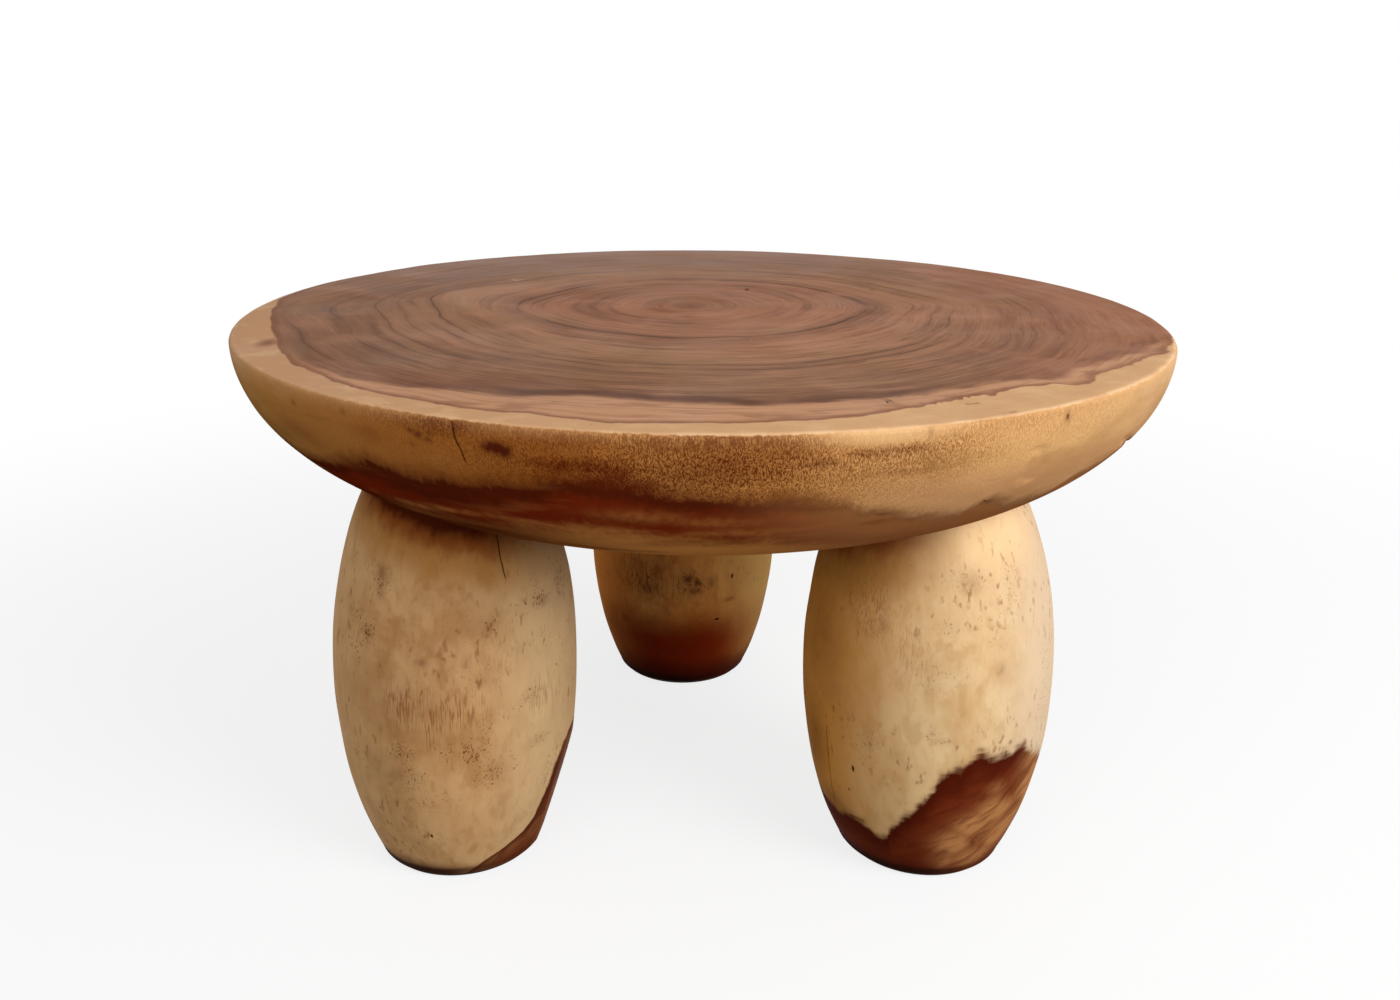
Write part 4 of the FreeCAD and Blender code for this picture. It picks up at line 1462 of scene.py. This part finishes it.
def make_top():
    """The top: a flat face, a rounded rim and a bowl-shaped belly, marked and housed."""
    rounding_end = math.degrees(math.asin(RIM_ROUNDING / TOP_THICKNESS))
    belly_centre = (UNDERSIDE_FLAT_RADIUS, TOP_LEVEL)
    belly_radii = (TOP_RADIUS - UNDERSIDE_FLAT_RADIUS, TOP_THICKNESS)
    rim_centre = (TOP_RADIUS - RIM_ROUNDING, TOP_LEVEL - RIM_ROUNDING)
    outline = [
        *straight((0, TOP_LEVEL), (rim_centre[0], TOP_LEVEL), TOP_FACE_ROWS),
        *arc(rim_centre, (RIM_ROUNDING, RIM_ROUNDING), 90, 0, ROUNDING_ROWS)[:-1],
        *arc(belly_centre, belly_radii, -rounding_end, -90, BELLY_ROWS)[:-1],
        *straight((UNDERSIDE_FLAT_RADIUS, UNDERSIDE_LEVEL), (0, UNDERSIDE_LEVEL), UNDERSIDE_ROWS),
        (0, UNDERSIDE_LEVEL),
    ]
    bm = turn_on_axis(outline, Vector((0, 0, 0)), TOP_STEPS)
    undulate(bm, TOP_UNEVENNESS, clear_of_seats)
    refine(bm, TOP_GOUGES, passes=1)
    carve(bm, TOP_GOUGES)
    refine(bm, TOP_CUTS)
    refine(bm, TOP_KNOTS, passes=1)
    carve(bm, TOP_CUTS)
    stain(bm, "knots", TOP_KNOTS)
    stain(bm, "stains", TOP_STAINS)
    stain(bm, "swirls", TOP_SWIRLS)
    stain(bm, "pores", TOP_PORES)
    piece = finish_piece(bm, "carved_top", ["table_top"], top_wood())
    house_the_legs(piece)


def below_the_top(point):
    """From 1 on the open part of a leg to 0 at its head and its foot."""
    below_head = min(1.0, max(0.0, (LEG_SHOWN_LEVEL - point.z) / HEAD_FADE))
    return below_head * min(1.0, point.z / FOOT_FADE)


def make_leg(leg):
    """A barrel leg, bored from its head for the bolt, with its flats, cuts and marks."""
    low, high = leg_boxes[leg]
    side = barrel_arc(leg, foot_level=low.z + FOOT_ROUNDING, head_level=high.z - HEAD_BEVEL)
    foot_centre = (side[0][0] - FOOT_ROUNDING, low.z + FOOT_ROUNDING)
    head_reach = side[-1][0] - HEAD_BEVEL
    bore_foot = high.z - BOLT_BORE_DEPTH
    outline = [
        (0, low.z),
        *straight((SOLE_HUB_RADIUS, low.z), (foot_centre[0], low.z), SOLE_ROWS),
        *arc(foot_centre, (FOOT_ROUNDING, FOOT_ROUNDING), -90, 0, ROUNDING_ROWS)[:-1],
        *side,
        (head_reach, high.z),
        *straight((head_reach - HEAD_RING_WIDTH, high.z), (BOLT_BORE_RADIUS, high.z), HEAD_ROWS),
        (BOLT_BORE_RADIUS, high.z),
        (BOLT_BORE_RADIUS, bore_foot),
        (0, bore_foot),
    ]
    bm = turn_on_axis(outline, leg_axes[leg], LEG_STEPS)
    undulate(bm, LEG_UNEVENNESS, below_the_top)
    flatten(bm, LEG_FLATS.get(leg, []))
    refine(bm, LEG_CUTS[leg])
    refine(bm, LEG_KNOTS[leg], passes=1)
    carve(bm, LEG_CUTS[leg])
    stain(bm, "knots", LEG_KNOTS[leg])
    # Stain marks, some of them painted shade
    stain(bm, "stains", LEG_STAINS_AND_SHADE[leg])
    stain(bm, "pores", LEG_PORES[leg])
    stain(bm, "dashes", LEG_DASHES[leg])
    if leg == "front_right":
        stain(bm, "swirls", HEART_SWIRLS)
    finish_piece(bm, f"barrel_leg_{leg}", [f"leg_{leg}"], leg_wood(leg))


def make_pad(leg, material):
    """A thin round pad under a foot, rounded at its lower edge."""
    low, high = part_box(f"foot_pad_{leg}")
    radius = (high.x - low.x) / 2
    corner = (radius - PAD_ROUNDING, PAD_ROUNDING)
    outline = [
        (0, low.z),
        *straight((SOLE_HUB_RADIUS, low.z), (corner[0], low.z), PAD_ROWS),
        *arc(corner, (PAD_ROUNDING, PAD_ROUNDING), -90, 0, PAD_ROUNDING_ROWS),
        (radius, high.z),
        (0, high.z),
    ]
    bm = turn_on_axis(outline, (low + high) / 2, PAD_STEPS)
    finish_piece(bm, f"rubber_pad_{leg}", [f"foot_pad_{leg}"], material)


def dress_fastener(name, material):
    """A bolt or insert keeps its CAD shape and gets its metal."""
    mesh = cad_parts[name].data
    mesh.materials.clear()
    mesh.materials.append(material)


# The camera stands where the photograph was taken from. Its angles are in degrees.
CAMERA_PLACE = mm(4.3, -1150.0, 662.0)
CAMERA_PITCH = 12.840
CAMERA_YAW = -0.333
CAMERA_ROLL = 0.562
CAMERA_LENS = 31.40
CAMERA_SENSOR = 36
CAMERA_SHIFT = -0.0996


def make_camera():
    data = bpy.data.cameras.new("camera")
    data.lens = CAMERA_LENS
    data.sensor_width = CAMERA_SENSOR
    data.shift_y = CAMERA_SHIFT
    camera = put_in_scene("camera", data)
    yaw = Matrix.Rotation(math.radians(-CAMERA_YAW), 4, "Z")
    pitch = Matrix.Rotation(math.radians(90 - CAMERA_PITCH), 4, "X")
    roll = Matrix.Rotation(math.radians(CAMERA_ROLL), 4, "Z")
    camera.matrix_world = Matrix.Translation(CAMERA_PLACE) @ yaw @ pitch @ roll
    bpy.context.scene.camera = camera


# A pale floor, a white surround, and soft light from the front and the right
FLOOR_SIZE = 14
FLOOR_SEEN = 0.90
FLOOR_GLOW_NEAR = 0.80
FLOOR_GLOW_REACHES = (0.5, 1.8)
FLOOR_BOUNCE = 0.20
SURROUND_LIGHT = 0.42
LIGHT_AIM = Vector((0, 0, 0.25))
KEY_PLACE = Vector((2.1, -1.7, 1.5))
KEY_SIZE = 1.8
KEY_POWER = 78
FILL_PLACE = Vector((-1.2, -2.6, 1.2))
FILL_SIZE = 2.4
FILL_POWER = 26


def seen_share(tree):
    """1 for what the camera sees, itself or in a gloss or through glass, and 0 for other light."""
    path = tree.add("LightPath").outputs
    share = path["Is Camera Ray"]
    for kind in ("Is Glossy Ray", "Is Transmission Ray"):
        share = tree.calc("MAXIMUM", share, path[kind])
    return share


def blended_greys(tree, share, otherwise, seen):
    """One level for what the camera sees, by its share, and another for other light."""
    greys = [(level, level, level, 1.0) for level in (otherwise, seen)]
    return tree.mix(share, *greys)


def make_floor():
    """The floor: pale to the camera, darker in its bounce, and glowing away from the table."""
    bm = bmesh.new()
    bmesh.ops.create_grid(bm, x_segments=2, y_segments=2, size=FLOOR_SIZE)
    floor = mesh_object(bm, "floor")
    pale = Finish("pale_floor", {"Roughness": 1.0, "Specular IOR Level": 0.0})
    share = seen_share(pale)
    tone = blended_greys(pale, share, FLOOR_BOUNCE, FLOOR_SEEN)
    pale.feed(pale.shader, {"Base Color": tone})
    away = pale.length(pale.place)
    lit = pale.times(share, pale.ease(away, *FLOOR_GLOW_REACHES, FLOOR_GLOW_NEAR, 1.0))
    glow = pale.add("Emission").outputs[0]
    both = pale.add("MixShader", lit, pale.shader.outputs[0], glow)
    pale.feed(pale.nodes["Material Output"], {"Surface": both.outputs[0]})
    floor.data.materials.append(pale.material)


def make_lamp(name, place, size, power):
    """A round lamp, turned to the table."""
    data = bpy.data.lights.new(name, "AREA")
    data.shape = "DISK"
    data.size = size
    data.energy = power
    lamp = put_in_scene(name, data)
    turned = (LIGHT_AIM - place).to_track_quat("-Z", "Y").to_matrix().to_4x4()
    lamp.matrix_world = Matrix.Translation(place) @ turned


def make_light():
    """The surround, white to the camera and softer as a light, and the two lamps."""
    world = bpy.data.worlds.new("surround")
    world.use_nodes = True
    bpy.context.scene.world = world
    surround = Nodes(world.node_tree)
    tone = blended_greys(surround, seen_share(surround), SURROUND_LIGHT, 1.0)
    surround.feed(surround.nodes["Background"], {"Color": tone})
    make_lamp("key", KEY_PLACE, KEY_SIZE, KEY_POWER)
    make_lamp("fill", FILL_PLACE, FILL_SIZE, FILL_POWER)


bpy.context.scene.view_settings.view_transform = "Standard"

make_top()
pad_material = rubber()
steel = turned_metal("bolt_steel", STEEL_BRIGHT, STEEL_DULL, STEEL_ROUGHNESS)
brass = turned_metal("insert_brass", BRASS_BRIGHT, BRASS_DULL, BRASS_ROUGHNESS)
for leg in LEGS:
    make_leg(leg)
    make_pad(leg, pad_material)
    dress_fastener(f"hanger_bolt_{leg}", steel)
    dress_fastener(f"threaded_insert_{leg}", brass)
make_floor()
make_light()
make_camera()
